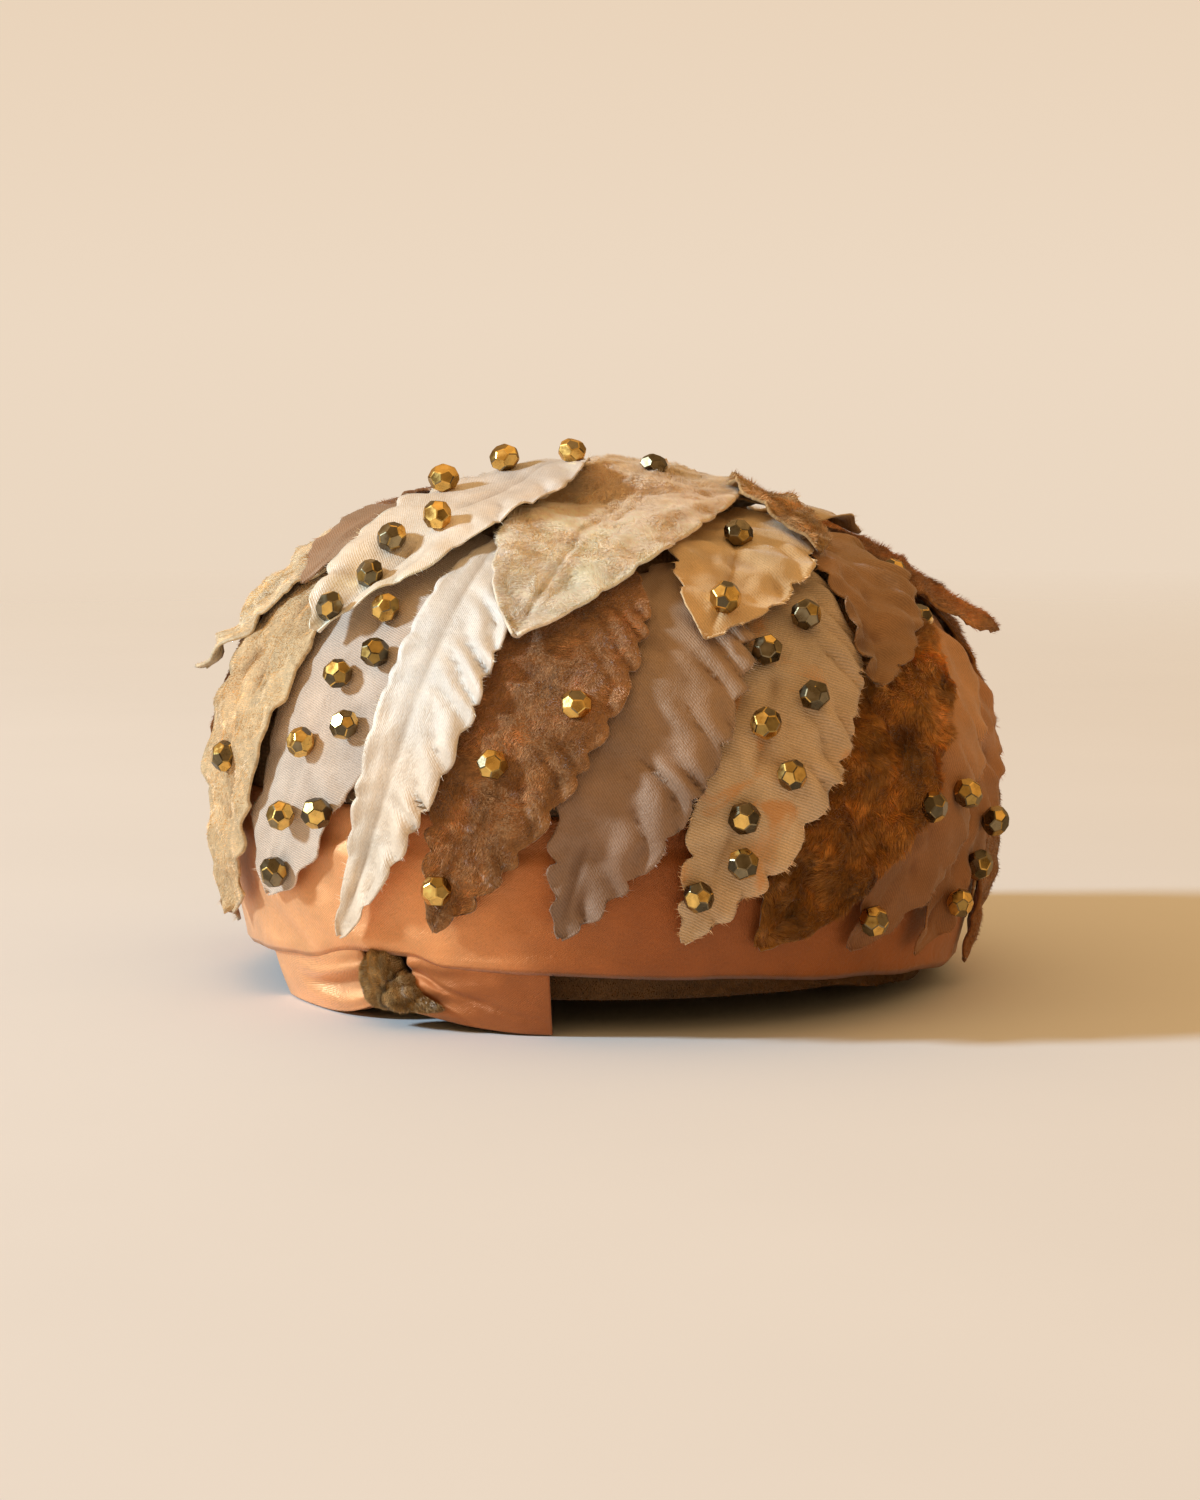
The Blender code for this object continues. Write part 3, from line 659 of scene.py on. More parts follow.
def satin_material(name, roughness, twill, contrast, sheen, lustre):
    """Satin: a fine slanted twill with soft gloss, crinkled by age."""
    n = Surface(name)
    lay, shade = n.attribute("lay"), n.attribute("shade", "Color")
    turned = n.mapped(lay, Rotation=(0, 0, 0.9))
    weave = n.bands(turned, BAND_SCALE / twill, Distortion=0.6, Detail=1.0)
    threads = n.noise(n.mapped(lay, Scale=(2.6, 1.1, 1)), 1.0)
    cloud = n.noise(lay, 0.09)
    crinkle = n.noise(lay, 0.22, 4.0, 0.7)
    tone = n.product(
        n.ramp(cloud, 0.25, 0.75, 0.84, 1.12),
        n.ramp(weave, 0, 1, 1 - contrast, 1 + contrast),
        n.ramp(threads, 0.3, 0.7, 0.90, 1.09),
    )
    return n.finish(
        Base_Color=n.scaled(shade, tone),
        Roughness=n.ramp(cloud, 0.3, 0.7, roughness - 0.05, roughness + 0.08),
        Metallic=lustre,
        Sheen_Weight=sheen,
        Sheen_Roughness=0.35,
        Normal=n.bumps((crinkle, 0.55, 0.0008), (weave, 0.4, 0.00014), (threads, 0.5, 0.00035)),
    )


def ribbed_material(name, pitch, patch):
    """Cloth with fine ribs across it and worn orange patches."""
    n = Surface(name)
    lay, shade = n.attribute("lay"), n.attribute("shade", "Color")
    ribs = n.bands(lay, BAND_SCALE / pitch, "Y", Distortion=0.4, Detail=1.0)
    cloud = n.noise(lay, 0.1, 4.0)
    fine = n.noise(lay, 2.2)
    place = n.maths("ADD", n.noise(lay, 0.05, 5.0, 1.2), n.product(fine, 0.16))
    worn = n.ramp(place, 0.62, 0.72, 0.0, patch)
    tone = n.product(
        n.ramp(cloud, 0.25, 0.75, 0.82, 1.12),
        n.ramp(ribs, 0, 1, 0.82, 1.10),
        n.ramp(fine, 0.3, 0.7, 0.84, 1.12),
    )
    creased = n.noise(lay, 0.2, 4.0, 0.7)
    return n.finish(
        Base_Color=n.mixed(worn, n.scaled(shade, tone), (0.72, 0.33, 0.10, 1)),
        Roughness=0.62,
        Sheen_Weight=0.25,
        Sheen_Roughness=0.4,
        Normal=n.bumps((creased, 0.6, 0.0009), (ribs, 0.6, 0.0002), (fine, 0.4, 0.0003)),
    )


def velvet_material(name, glow, low, grain=1.0):
    """Crushed velvet: dark and light lays of pile, with a soft bloom."""
    n = Surface(name)
    lay, shade = n.attribute("lay"), n.attribute("shade", "Color")
    crush = n.noise(lay, 0.16, 4.0, 1.0)
    fibre = n.noise(n.mapped(lay, Scale=(2.4, 0.9, 1)), grain)
    tone = n.product(n.ramp(crush, 0.3, 0.7, low, 1.10), n.ramp(fibre, 0.3, 0.7, low, 1.12))
    return n.finish(
        Base_Color=n.scaled(shade, tone),
        Roughness=0.75,
        Sheen_Weight=glow,
        Sheen_Roughness=0.3,
        Specular_IOR_Level=0.2,
        Normal=n.bumps((crush, 0.5, 0.0012), (fibre, 0.8, 0.0006)),
    )


def fibre_material(name, glow, contrast, through):
    """Loose fibres, lighter and darker by turns and in small tufts."""
    n = Surface(name)
    tuft = n.ramp(n.noise(n.coordinates(), 420.0, 2.0), 0.3, 0.7, 1.0 - contrast, 1.02 + contrast)
    fibre = n.ramp(n.attribute("tone", "Fac"), 0, 1, 1.04 - contrast, 1.06 + contrast)
    return n.finish(
        Base_Color=n.scaled(n.attribute("shade", "Color"), n.product(fibre, tuft)),
        Roughness=0.45,
        Sheen_Weight=glow,
        Sheen_Roughness=0.35,
        Subsurface_Weight=through,
        Subsurface_Radius=(1.0, 0.85, 0.7),
        Subsurface_Scale=0.0008,
    )


def metal_material(name):
    """Worn plated metal, with a tone for each facet and fine pits."""
    n = Surface(name)
    where = n.coordinates()
    spots = n.noise(where, 450.0, 2.0)
    return n.finish(
        Base_Color=n.scaled(n.attribute("shade", "Color"), n.ramp(spots, 0.35, 0.7, 0.75, 1.15)),
        Metallic=1.0,
        Roughness=n.ramp(spots, 0.3, 0.7, 0.2, 0.42),
        Normal=n.bumps((n.noise(where, 1400.0), 0.25, 0.0001)),
    )


def crown_material(name, colour):
    """Stiffened open-weave cloth."""
    n = Surface(name)
    where = n.coordinates()
    weave = n.product(*(n.bands(where, 262.0, way, Distortion=0.8) for way in "ZX"))
    cloud = n.noise(where, 60.0, 4.0)
    tone = n.product(n.ramp(cloud, 0.3, 0.7, 0.8, 1.15), n.ramp(weave, 0, 1, 0.75, 1.15))
    return n.finish(
        Base_Color=n.scaled(n.plain(colour), tone), Roughness=0.85, Normal=n.bumps((weave, 0.5, 0.0003))
    )


# Finish of each cloth's face: its maker and the maker's values
CLOTH_FINISHES = {
    "velvet_olive": (velvet_material, 0.15, 0.72, 2.0),
    "velvet_cream": (velvet_material, 0.4, 0.9),
    "velvet_tan": (velvet_material, 0.4, 0.75),
    "velvet_brown": (velvet_material, 0.4, 0.75),
    "velvet_amber": (velvet_material, 0.4, 0.75),
    "ribbed_khaki": (ribbed_material, 0.7, 0.8),
    "taffeta_pink": (ribbed_material, 0.6, 0.0),
    "satin_ivory": (satin_material, 0.50, 0.5, 0.03, 0.5, 0.12),
    "satin_mauve": (satin_material, 0.58, 0.6, 0.12, 0.3, 0.25),
    "satin_ochre": (satin_material, 0.58, 0.7, 0.06, 0.4, 0.1),
}
# Glow, contrast and light let through of each cloth's fibres
PLAIN_FIBRES = (1.0, 0.3, 0.0)
CLOTH_FIBRES = {
    "velvet_cream": (1.0, 0.1, 0.9),
    "velvet_amber": (0.3, 0.3, 0.0),
    "velvet_olive": (0.3, 0.3, 0.0),
}


def cloth_material(cloth):
    """The finish of a cloth's face, made once."""
    name = f"{cloth}_cloth"
    make, *values = CLOTH_FINISHES[cloth]
    return bpy.data.materials.get(name) or make(name, *values)


def pile_material(cloth):
    """The finish of a cloth's loose fibres, made once."""
    name = f"{cloth}_pile"
    return bpy.data.materials.get(name) or fibre_material(name, *CLOTH_FIBRES.get(cloth, PLAIN_FIBRES))


def pile_tree():
    """Geometry nodes that stand fibres on a face along its lean attribute."""
    tree = bpy.data.node_groups.new("Pile", "GeometryNodeTree")
    for kind, names in PILE_SOCKETS.items():
        for name in names:
            tree.interface.new_socket(name, in_out="INPUT", socket_type=f"NodeSocket{kind}")
    tree.interface.new_socket("Geometry", in_out="OUTPUT", socket_type="NodeSocketGeometry")
    n = Nodes(tree)
    given = n.add("NodeGroupInput").outputs
    nap, lean = (
        n.add("GeometryNodeInputNamedAttribute", settings={"data_type": FIELDS[name][0]}, Name=name)
        for name in ("nap", "lean")
    )
    spots = n.add(
        "GeometryNodeDistributePointsOnFaces",
        Mesh=given["Geometry"],
        Density=n.product(given["Density"], nap.outputs["Attribute"]),
        Seed=given["Seed"],
    )
    tuft = n.add("ShaderNodeTexNoise", Scale=330.0, Detail=2.0).outputs["Color"]
    swing = n.vectors("SUBTRACT", tuft, (0.5, 0.5, 0.5)).outputs[0]
    bent = n.vectors("ADD", lean.outputs["Attribute"], n.scaled(swing, given["Tousle"])).outputs[0]
    turn = n.add("FunctionNodeAlignRotationToVector", settings={"axis": "Z"}, Vector=bent)
    varied = n.add("FunctionNodeRandomValue", settings={"data_type": "FLOAT"}, Seed=given["Seed"]).outputs[1]
    reach = n.add("ShaderNodeCombineXYZ", 1.0, 1.0, n.ramp(varied, 0, 1, 0.55, 1.25))
    cone = n.add(
        "GeometryNodeMeshCone",
        settings={"fill_type": "NONE"},
        Vertices=3,
        Radius_Top=0.0,
        Radius_Bottom=given["Thickness"],
        Depth=given["Length"],
    )
    stood = n.add(
        "GeometryNodeInstanceOnPoints",
        Points=spots.outputs["Points"],
        Instance=cone.outputs["Mesh"],
        Rotation=turn.outputs[0],
        Scale=reach.outputs[0],
    )
    toned = n.add(
        "GeometryNodeStoreNamedAttribute",
        settings={"data_type": "FLOAT", "domain": "INSTANCE"},
        Geometry=stood.outputs[0],
        Name="tone",
        Value=varied,
    )
    real = n.add("GeometryNodeRealizeInstances", Geometry=toned.outputs[0])
    dyed = n.add("GeometryNodeSetMaterial", Geometry=real.outputs[0], Material=given["Material"])
    n.add("NodeGroupOutput", dyed.outputs[0])
    return tree


def grow(name, points, faces, lean, bare, shade, pile, cloth, seed, thickness=FIBRE_THICKNESS):
    """Fibres on a bare grid, each way they lean and as thickly as it is bare."""
    base = new_object("bare_grid", points, faces, cloth_material(cloth))
    add_fields(base, lean=lean, nap=bare, shade=shade)
    tree = bpy.data.node_groups.get("Pile") or pile_tree()
    modifier = base.modifiers.new("Pile", "NODES")
    modifier.node_group = tree
    values = {
        "Density": pile.density * 1e6,
        "Length": pile.length * MM,
        "Thickness": thickness * MM,
        "Tousle": pile.tousle,
        "Seed": seed,
        "Material": pile_material(cloth),
    }
    for item in tree.interface.items_tree:
        if item.in_out == "INPUT" and item.name in values:
            modifier[item.identifier] = values[item.name]
    bpy.context.view_layer.update()
    graph = bpy.context.evaluated_depsgraph_get()
    mesh = bpy.data.meshes.new_from_object(base.evaluated_get(graph))
    mesh.name = name
    bpy.data.objects.remove(base)
    return linked(name, mesh)


def is_velvet(leaf):
    return leaf.cloth.startswith("velvet")


def half_width(leaf, along):
    """Half a leaf's width at shares of its length."""
    widest = LEAF_SWELL / (LEAF_SWELL + LEAF_TAPER)
    fullest = widest**LEAF_SWELL * (1 - widest) ** LEAF_TAPER
    half = leaf.width / 2 * along**LEAF_SWELL * (1 - along) ** LEAF_TAPER / fullest
    return np.maximum(half, LEAF_ROOT_HALF + (LEAF_TIP_HALF - LEAF_ROOT_HALF) * along)


def leaf_length(leaf):
    """The way from a leaf's root to its tip round the dome."""
    ends = towards(leaf.root_azimuth, leaf.root_fall) @ towards(leaf.tip_azimuth, leaf.tip_fall)
    return HALF_WIDTH * math.acos(ends)


def leaf_ways(leaf, along, aside):
    """Directions at shares along a leaf and distances to the right of its midrib."""
    root = towards(leaf.root_azimuth, leaf.root_fall)
    tip = towards(leaf.tip_azimuth, leaf.tip_fall)
    angle = math.acos(root @ tip)
    side = np.cross(root, tip) / math.sin(angle)
    share = along[..., None]
    spine = (np.sin((1 - share) * angle) * root + np.sin(share * angle) * tip) / math.sin(angle)
    turn = ((aside + leaf.bow * 4 * along * (1 - along)) / HALF_WIDTH)[..., None]
    return spine * np.cos(turn) + side * np.sin(turn)


def ways_over(leaf, along, across):
    """Directions over a leaf at shares of its length and of its half width."""
    along, across = along[:, None] + 0 * across, across[None, :] + 0 * along[:, None]
    return leaf_ways(leaf, along, across * half_width(leaf, along))


def cad_stand(leaf, tree):
    """How far the inner face of a leaf's solid stands off the dome, at its own corners."""
    along = np.clip(np.linspace(0, 1, leaf.steps + 1), 0.004, 0.996)
    ways = ways_over(leaf, along, np.linspace(-0.985, 0.985, 5))
    stand = np.zeros(ways.shape[:2])
    start = Vector(CENTRE * MM)
    for i, j in np.ndindex(stand.shape):
        where = tree.ray_cast(start, Vector(ways[i, j]))[0]
        if where is None:
            where = tree.find_nearest(Vector(on_dome(ways[i, j], np.float64(4.0)) * MM))[0]
        stand[i, j] = (where - start).length / MM - dome_radius(ways[i, j])
    return stand


def free_share(leaf, stand, later):
    """Where nothing lies on a leaf: 1 is bare and 0 is covered, on a coarse grid."""
    rows, columns = 26, 13
    ways = ways_over(leaf, np.linspace(0.01, 0.99, rows), np.linspace(-0.97, 0.97, columns))
    points = on_dome(ways, smooth_grid(stand, rows, columns) + 0.6) * MM
    bare = np.ones((rows, columns))
    for i, j in np.ndindex(bare.shape):
        start, way = Vector(points[i, j]), Vector(ways[i, j])
        if any(tree.ray_cast(start, way)[0] is not None for tree in later):
            bare[i, j] = 0
    padded = np.pad(bare, 1, mode="edge")
    return sum(padded[i : i + rows, j : j + columns] for i in range(3) for j in range(3)) / 9


def slack(s, seed):
    """How unevenly the scallops and folds follow each other along a leaf."""
    return 0.22 * np.sin(s * 0.17 + seed) + 0.12 * np.sin(s * 0.43 + 2 * seed)


def leaf_look(leaf):
    """How a leaf was pressed and has worn."""
    return CLOTH_LOOKS[leaf.cloth]._replace(**LEAF_CHANGES.get(leaf.name, {}))


def leaf_relief(look, s, w, half, length, seed):
    """Height of midrib, gathers, crumples and edge lift over a flat leaf, in mm."""
    off = w - look.ridge * half
    side = np.where(off > 0, half * (1 - look.ridge), half * (1 + look.ridge))
    reach = np.clip(np.abs(off) / side, 0, 1)
    turns = (s - 0.9 * (np.abs(off) - side)) * look.folds / length + slack(s, seed) + 0.35 * (off > 0)
    gather = np.abs(np.sin(math.pi * turns)) ** 0.75
    strength = 0.85 + 0.45 * np.sin(s * 0.09 + 1.7 * seed) * np.sin(s * 0.23 + seed)
    height = np.where(off > 0, look.right, look.left) * strength
    veins = 1.7 * height * (gather - 0.25) * ease(0.05, 0.75, reach)
    ends = ease(0, 0.12, s / length) * ease(0, 0.1, 1 - s / length)
    rib = -0.6 * hump(off, 0.8) + 0.45 * hump(np.abs(off) - 1.9, 1.2)
    flat = flat_grid(w, s)
    crumple = waves(flat, 12.0, seed) * 0.55 + waves(flat, 5.5, seed + 50) * 0.4
    crease = 1 - 2 * np.abs(waves(flat, 10.0, seed + 70))
    sway = 0.55 + 0.7 * waves(flat, 16.0, seed + 90)
    edge = look.lift * (np.abs(w) / half) ** 4 * sway
    folded = (1.3 * crumple + 0.7 * crease + 0.3) * look.crumple
    return (veins + rib) * ends + folded + edge


def scallop_edge(look, s, length, seed, right, rough):
    """How far an edge is drawn in at each row: scallops, tears and fraying."""
    share = s * look.scallops / length + slack(s, seed) + 0.35 * right
    lobe = np.abs(np.sin(math.pi * share)) ** 0.8
    ends = ease(0, 0.08, s / length) * ease(0, 0.06, 1 - s / length)
    torn = np.maximum(waves(s[..., None], 7.0, seed + 40 + right), 0) + 0.6 * rough
    depth = look.depth if right else look.depth * (1 - look.smooth)
    return -(depth * (1 - lobe) * ends + look.tear * torn)


def leaf_shade(look, s, w, half, length, seed):
    """Colour of a leaf from its root to its tip, with a painted highlight along its edges."""
    flat = flat_grid(w, s)
    reach = np.abs(w) / half
    down = ease(0.15, 0.85, s / length)[..., None]
    colour = np.array(look.root) * (1 - down) + np.array(look.tip) * down
    tone = 1 + 0.07 * waves(flat, 30.0, seed + 11) + 0.05 * waves(flat, 8.0, seed + 12)
    # Painted highlight: the last tenth towards each edge is up to 12% paler, a light rim where edges stand
    # over the leaf below
    tone = tone * (1 + 0.12 * ease(0.9, 1.0, reach))
    warm = 0.05 * waves(flat, 26.0, seed + 13)[..., None] * np.array((1.0, 0.1, -0.9))
    return np.clip(colour * (tone[..., None] + warm), 0, 1)


def leaf_outline(leaf, look, number, along):
    """A leaf's half width at each row, with its blunt tip."""
    length = leaf_length(leaf)
    ragged = 0.8 + 0.3 * waves(along * length, 9.0, number + 7)[:, None]
    rounded = np.sqrt(1 - (np.maximum(along - 0.78, 0) / 0.22) ** 2)
    blunt = look.blunt * ragged * leaf.width / 2 * ease(0, 0.3, along) * rounded
    half = np.maximum(half_width(leaf, along), blunt)
    return np.minimum(half, 0.35 + (1 - along) * length * (0.9 + look.blunt))


# A finished leaf: its outer face, how bare it lies, its colours and flat places
Laid = namedtuple("Laid", "leaf number top free shade lay")


def make_leaf(leaf, number, stand, bare, cloths):
    """A leaf of cloth in the place of its solid, and what its fibres need."""
    look = leaf_look(leaf)
    length = leaf_length(leaf)
    behind = leaf.steps == 6 or leaf.root_azimuth > BEHIND_FROM
    step = cloths.step / MM * (BEHIND_COARSER if behind else 1.0)
    rows, columns = int(length / step) + 1, int(leaf.width / step / FACE_ASPECT) // 2 * 2 + 1
    draw = np.random.default_rng(number)
    along = np.linspace(0, 1, rows)[:, None]
    u = np.linspace(-1, 1, columns)
    u = (u + 0.3 * np.sin(math.pi * u) / math.pi)[None, :]
    half = leaf_outline(leaf, look, number, along)
    s = along * length
    rough = draw.uniform(0, 1, (2, rows, 1))
    left, right = (scallop_edge(look, s, length, number, k, rough[k]) for k in (0, 1))
    w = u * half + np.abs(u) ** 5 * np.where(u > 0, right, -left) * np.minimum(half / 6, 1)
    free = straight_grid(bare, rows, columns)
    relief = leaf_relief(look, s, w, half, length, number)
    relief = relief + look.curl * ease(0.7, 1, along) ** 2 * (0.8 + 0.4 * u)
    relief = np.maximum(relief, -0.6) * (0.15 + 0.85 * free)
    base = smooth_grid(stand, rows, columns) + CAD_LEAF_WALL
    top = on_dome(leaf_ways(leaf, along + 0 * w, w), base + relief)
    shade = leaf_shade(look, s, w, half, length, number)
    # Painted shade: darker and warmer in the valleys of gathers and crumples where the leaf lies bare
    painted_valley_shade = np.clip((0.3 - relief) / 0.9, 0, 1) * free * ease(1.2, 2.0, look.right + look.crumple)
    shade = shade * (1 - 0.42 * painted_valley_shade[..., None] * np.array((0.8, 1.0, 1.2)))
    lay = as_lay(flat_grid(w, s))
    wall = (cloths.velvet_wall if is_velvet(leaf) else cloths.satin_wall) / MM
    material = cloth_material(LEAF_FINISH.get(leaf.name, leaf.cloth))
    piece = two_sided(f"{leaf.name}_cloth", top, wall, lay, shade, material)
    return piece, Laid(leaf, number, top, free, shade, lay)


def leaf_pile(laid):
    """Fibres on the bare parts of a velvet leaf, combed towards its tip and crushed."""
    leaf, number, top = laid.leaf, laid.number, laid.top
    pile = LEAF_PILES.get(leaf.name, CLOTH_PILES[leaf.cloth])
    normal = face_normals(top)
    down = unit(np.gradient(top, axis=0))
    right = np.cross(down, normal)
    flat = laid.lay[..., :2]
    swirl = 1.6 * waves(flat, 11.0, number + 31) + 0.7 * waves(flat, 4.0, number + 32)
    flatness = pile.sweep * (0.9 + 0.6 * waves(flat, 6.0, number + 33))
    comb = down * np.cos(swirl)[..., None] + right * np.sin(swirl)[..., None]
    lean = normal + comb * np.maximum(flatness, 0.1)[..., None]
    reach = np.abs(np.linspace(-1, 1, top.shape[1]))[None, :]
    rim = 1 - (0.1 if pile.length > 1.5 else 0.8) * ease(0.72, 0.98, reach)
    # Painted sheen: fibres brighter in streaks where the lay would catch the light
    painted_sheen_streaks = waves(flat * np.array((1.0, 0.35)), 4.5, number + 34) + 0.6 * waves(flat, 9.0, number + 35)
    shade = laid.shade * (1.03 + pile.streak * (painted_sheen_streaks + 0.2))[..., None]
    bare = ease(0.05, 0.5, laid.free) * rim
    faces = grid_faces(*top.shape[:2])
    return grow(f"{leaf.name}_pile", top - normal * 0.1, faces, lean, bare, shade, pile, leaf.cloth, number)


def leaf_fray(laid):
    """Loose threads along the bare edges of a woven leaf, in uneven tufts."""
    leaf, number, top = laid.leaf, laid.number, laid.top
    look = leaf_look(leaf)
    normal = face_normals(top)
    down = unit(np.gradient(top, axis=0))
    draw = np.random.default_rng(number + 500)
    points, leans, bares, shades, faces = [], [], [], [], []
    rows = len(top)
    for side, (edge, inner) in enumerate(((0, 1), (-1, -2))):
        out = unit(top[:, edge] - top[:, inner])
        rim = top[:, edge] - out * 0.1
        along, up = draw.normal(0.25, 0.6, (rows, 1)), draw.normal(0.1, 0.3, (rows, 1))
        tuft = waves(laid.lay[:, edge, 1:2], 5.0, number + 60 + inner)
        points += [rim, rim - out * 0.4]
        leans += [out + down[:, edge] * along + normal[:, edge] * up] * 2
        bares += [look.fray * ease(-0.5, 0.8, tuft) * ease(0.2, 0.7, laid.free[:, edge])] * 2
        shades += [laid.shade[:, edge] * 1.15] * 2
        faces.append(grid_faces(2, rows, side * 2 * rows))
    points, leans, bares, shades, faces = map(np.concatenate, (points, leans, bares, shades, faces))
    values = (points, faces, leans, bares, shades, EDGE_THREADS, leaf.cloth, number, THREAD_THICKNESS)
    return grow(f"{leaf.name}_threads", *values)


def bead_template():
    """Corners and facets of a cut bead of radius 1, its hole along Z."""
    normals = [towards((k + turn) * 60, fall) for fall, turn, _ in BEAD_ROWS for k in range(6)]
    reach = [out for *_, out in BEAD_ROWS for k in range(6)]
    normals = np.array(normals + [(0, 0, 1), (0, 0, -1)])
    reach = np.array(reach + [BEAD_END] * 2)
    bm = bmesh.new()
    for n, r in zip(normals, reach):
        bm.verts.new(n / r)
    bm.verts.ensure_lookup_table()
    hull = bmesh.ops.convex_hull(bm, input=bm.verts)
    corners = []
    for face in [f for f in hull["geom"] if isinstance(f, bmesh.types.BMFace)]:
        picked = [v.index for v in face.verts][:3]
        corners.append(np.linalg.solve(normals[picked], reach[picked]))
    bm.free()
    bm = bmesh.new()
    for corner in corners:
        bm.verts.new(corner)
    bmesh.ops.remove_doubles(bm, verts=bm.verts, dist=0.01)
    bmesh.ops.convex_hull(bm, input=bm.verts)
    bmesh.ops.dissolve_limit(bm, angle_limit=0.05, verts=bm.verts, edges=bm.edges)
    bmesh.ops.bevel(bm, geom=bm.edges, offset=0.055, segments=1, affect="EDGES")
    bmesh.ops.recalc_face_normals(bm, faces=bm.faces)
    bm.verts.index_update()
    points = np.array([v.co for v in bm.verts])
    faces = [[v.index for v in f.verts] for f in bm.faces]
    bm.free()
    return points, faces


def make_beads(name, spots, beads, draw, template, material):
    """Faceted beads at spots: a centre, an axis and a share of gold each."""
    corners, facets = template
    points, faces, shades = [], [], []
    gold, pewter = np.array(beads.gold), np.array(beads.pewter)
    for middle, axis, share in spots:
        tilt = Vector(axis + draw.normal(size=3) * 0.35).to_track_quat("Z", "Y").to_matrix()
        turn = draw.uniform(0, math.tau)
        place = np.array(tilt) @ spin(turn) * (beads.radius / MM * draw.uniform(0.95, 1.03))
        start = len(points) * len(corners)
        points.append(corners @ place.T + middle)
        faces += [[start + i for i in f] for f in facets]
        gilded = draw.uniform(0, 1, len(facets)) < share
        dull = draw.uniform(0, 1, len(facets)) < 0.65 - 0.45 * share
        tone = np.where(dull, 0.5, 1.1) * draw.uniform(0.8, 1.2, len(facets))
        shades.append(np.where(gilded[:, None], gold, pewter) * tone[:, None])
    made = new_object(name, np.concatenate(points), faces, material, smooth=False)
    add_fields(made, "FACE", shade=np.concatenate(shades))
    return made


class LeafStack:
    """The outer faces of the finished leaves, for setting beads on."""

    def __init__(self):
        self.points, self.faces, self.owners, self.count = [], [], [], 0

    def add(self, name, top):
        rows, columns = top.shape[:2]
        faces = grid_faces(rows, columns, self.count)
        self.points.append(top.reshape(-1, 3))
        self.faces.append(faces)
        self.owners += [name] * len(faces)
        self.count += rows * columns

    def close(self):
        points = np.concatenate(self.points).tolist()
        self.tree = BVHTree.FromPolygons(points, np.concatenate(self.faces).tolist())

    def seat(self, way, radius, sink):
        """A bead's centre, axis and leaf on the outermost leaf along a direction."""
        far = Vector(CENTRE + way * 300)
        where, normal, face, _ = self.tree.ray_cast(far, Vector(-way))
        axis = np.array(normal) * 0.5 + way * 0.5
        axis /= np.linalg.norm(axis)
        return np.array(where) + axis * (radius - sink), axis, self.owners[face]


stack = LeafStack()


def copper_with_painted_light(cloths, azimuth, tone):
    """Colours of the copper satin round the hat, with light and shade painted in by azimuth."""
    painted_light = np.stack([np.interp(azimuth, COPPER_PAINTED_LIGHT[:, 0], COPPER_PAINTED_LIGHT[:, k]) for k in (1, 2, 3)], -1)
    return np.clip(np.array(cloths.copper) * painted_light * tone[..., None], 0, 1)


def wall_ring(name, azimuths, section, shade, material):
    """A closed ring from section(azimuths): heights and set-outs of its corners."""
    heights, outs = section(azimuths)
    points = on_wall(azimuths[:, None], heights, outs)
    faces = grid_faces(*points.shape[:2], wrap=(1, 1))
    made = new_object(name, points, faces, material)
    lay = as_lay(round_wall(azimuths[:, None], heights))
    add_fields(made, lay=lay, shade=shade(azimuths[:, None], heights))
    return made


def satin_band(cloths):
    """The satin band, with the folds that lead to the bow and a turned edge."""

    def section(azimuths):
        a = azimuths[:, None]
        foot = hem(azimuths, 1)[:, None]
        v = np.linspace(0, 1, 26)[None, :]
        heights = foot + (BAND_TOP + BAND_OVERLAP - foot) * v
        flat = round_wall(a, heights)
        soft = 0.45 * waves(flat, 34.0, 5) + 0.2 * waves(flat, 12.0, 6)
        left = hump(a + 50, 17)
        slope = heights + (a + 50) * 0.95
        drape = 1.1 * left * np.sin(slope * 0.24)
        fold = 1.5 * hump(slope - 23, 2.6) * hump(a + 42, 16)
        pull = 1.0 * hump(a + 33, 9) * hump(heights - foot - 4, 3.5)
        crease = -0.9 * hump(heights - foot - 3 - (a + 26) * 0.25, 1.6) * ease(-34, -27, a)
        crease = crease * ease(10, -15, a)
        roll = 0.8 * hump(heights - foot, 1.3)
        turned = 0.35 * hump(heights - foot - 2.6, 1.1)
        tucked = ease(BAND_TOP - 2, BAND_TOP + 2, heights)
        folded = (soft + drape + fold + pull + crease) * ease(0, 0.1, v) * (1 - tucked)
        outer = 1.75 + folded * 0.85 - roll + turned - 1.35 * tucked
        inner_heights = heights[:, ::-2]
        inner = 0.7 - 0.8 * ease(BAND_TOP - 4, BAND_TOP, inner_heights)
        return np.concatenate((heights, inner_heights), 1), np.concatenate((outer, inner), 1)

    def shade(a, heights):
        flat = round_wall(a, heights)
        tone = 1 + 0.06 * waves(flat, 50.0, 21) + 0.04 * waves(flat, 12.0, 22)
        # The band's colour carries painted light: paler on the lit left, darker at the shaded front and
        # right
        return copper_with_painted_light(cloths, a + 0 * heights, tone)

    azimuths = np.linspace(-180, 180, 360, endpoint=False)
    material = satin_material("copper_satin", 0.42, 0.5, 0.05, 0.2, 0.4)
    band = wall_ring("satin_band_cloth", azimuths, section, shade, material)
    put_on(band, "satin_copper", "satin_band")


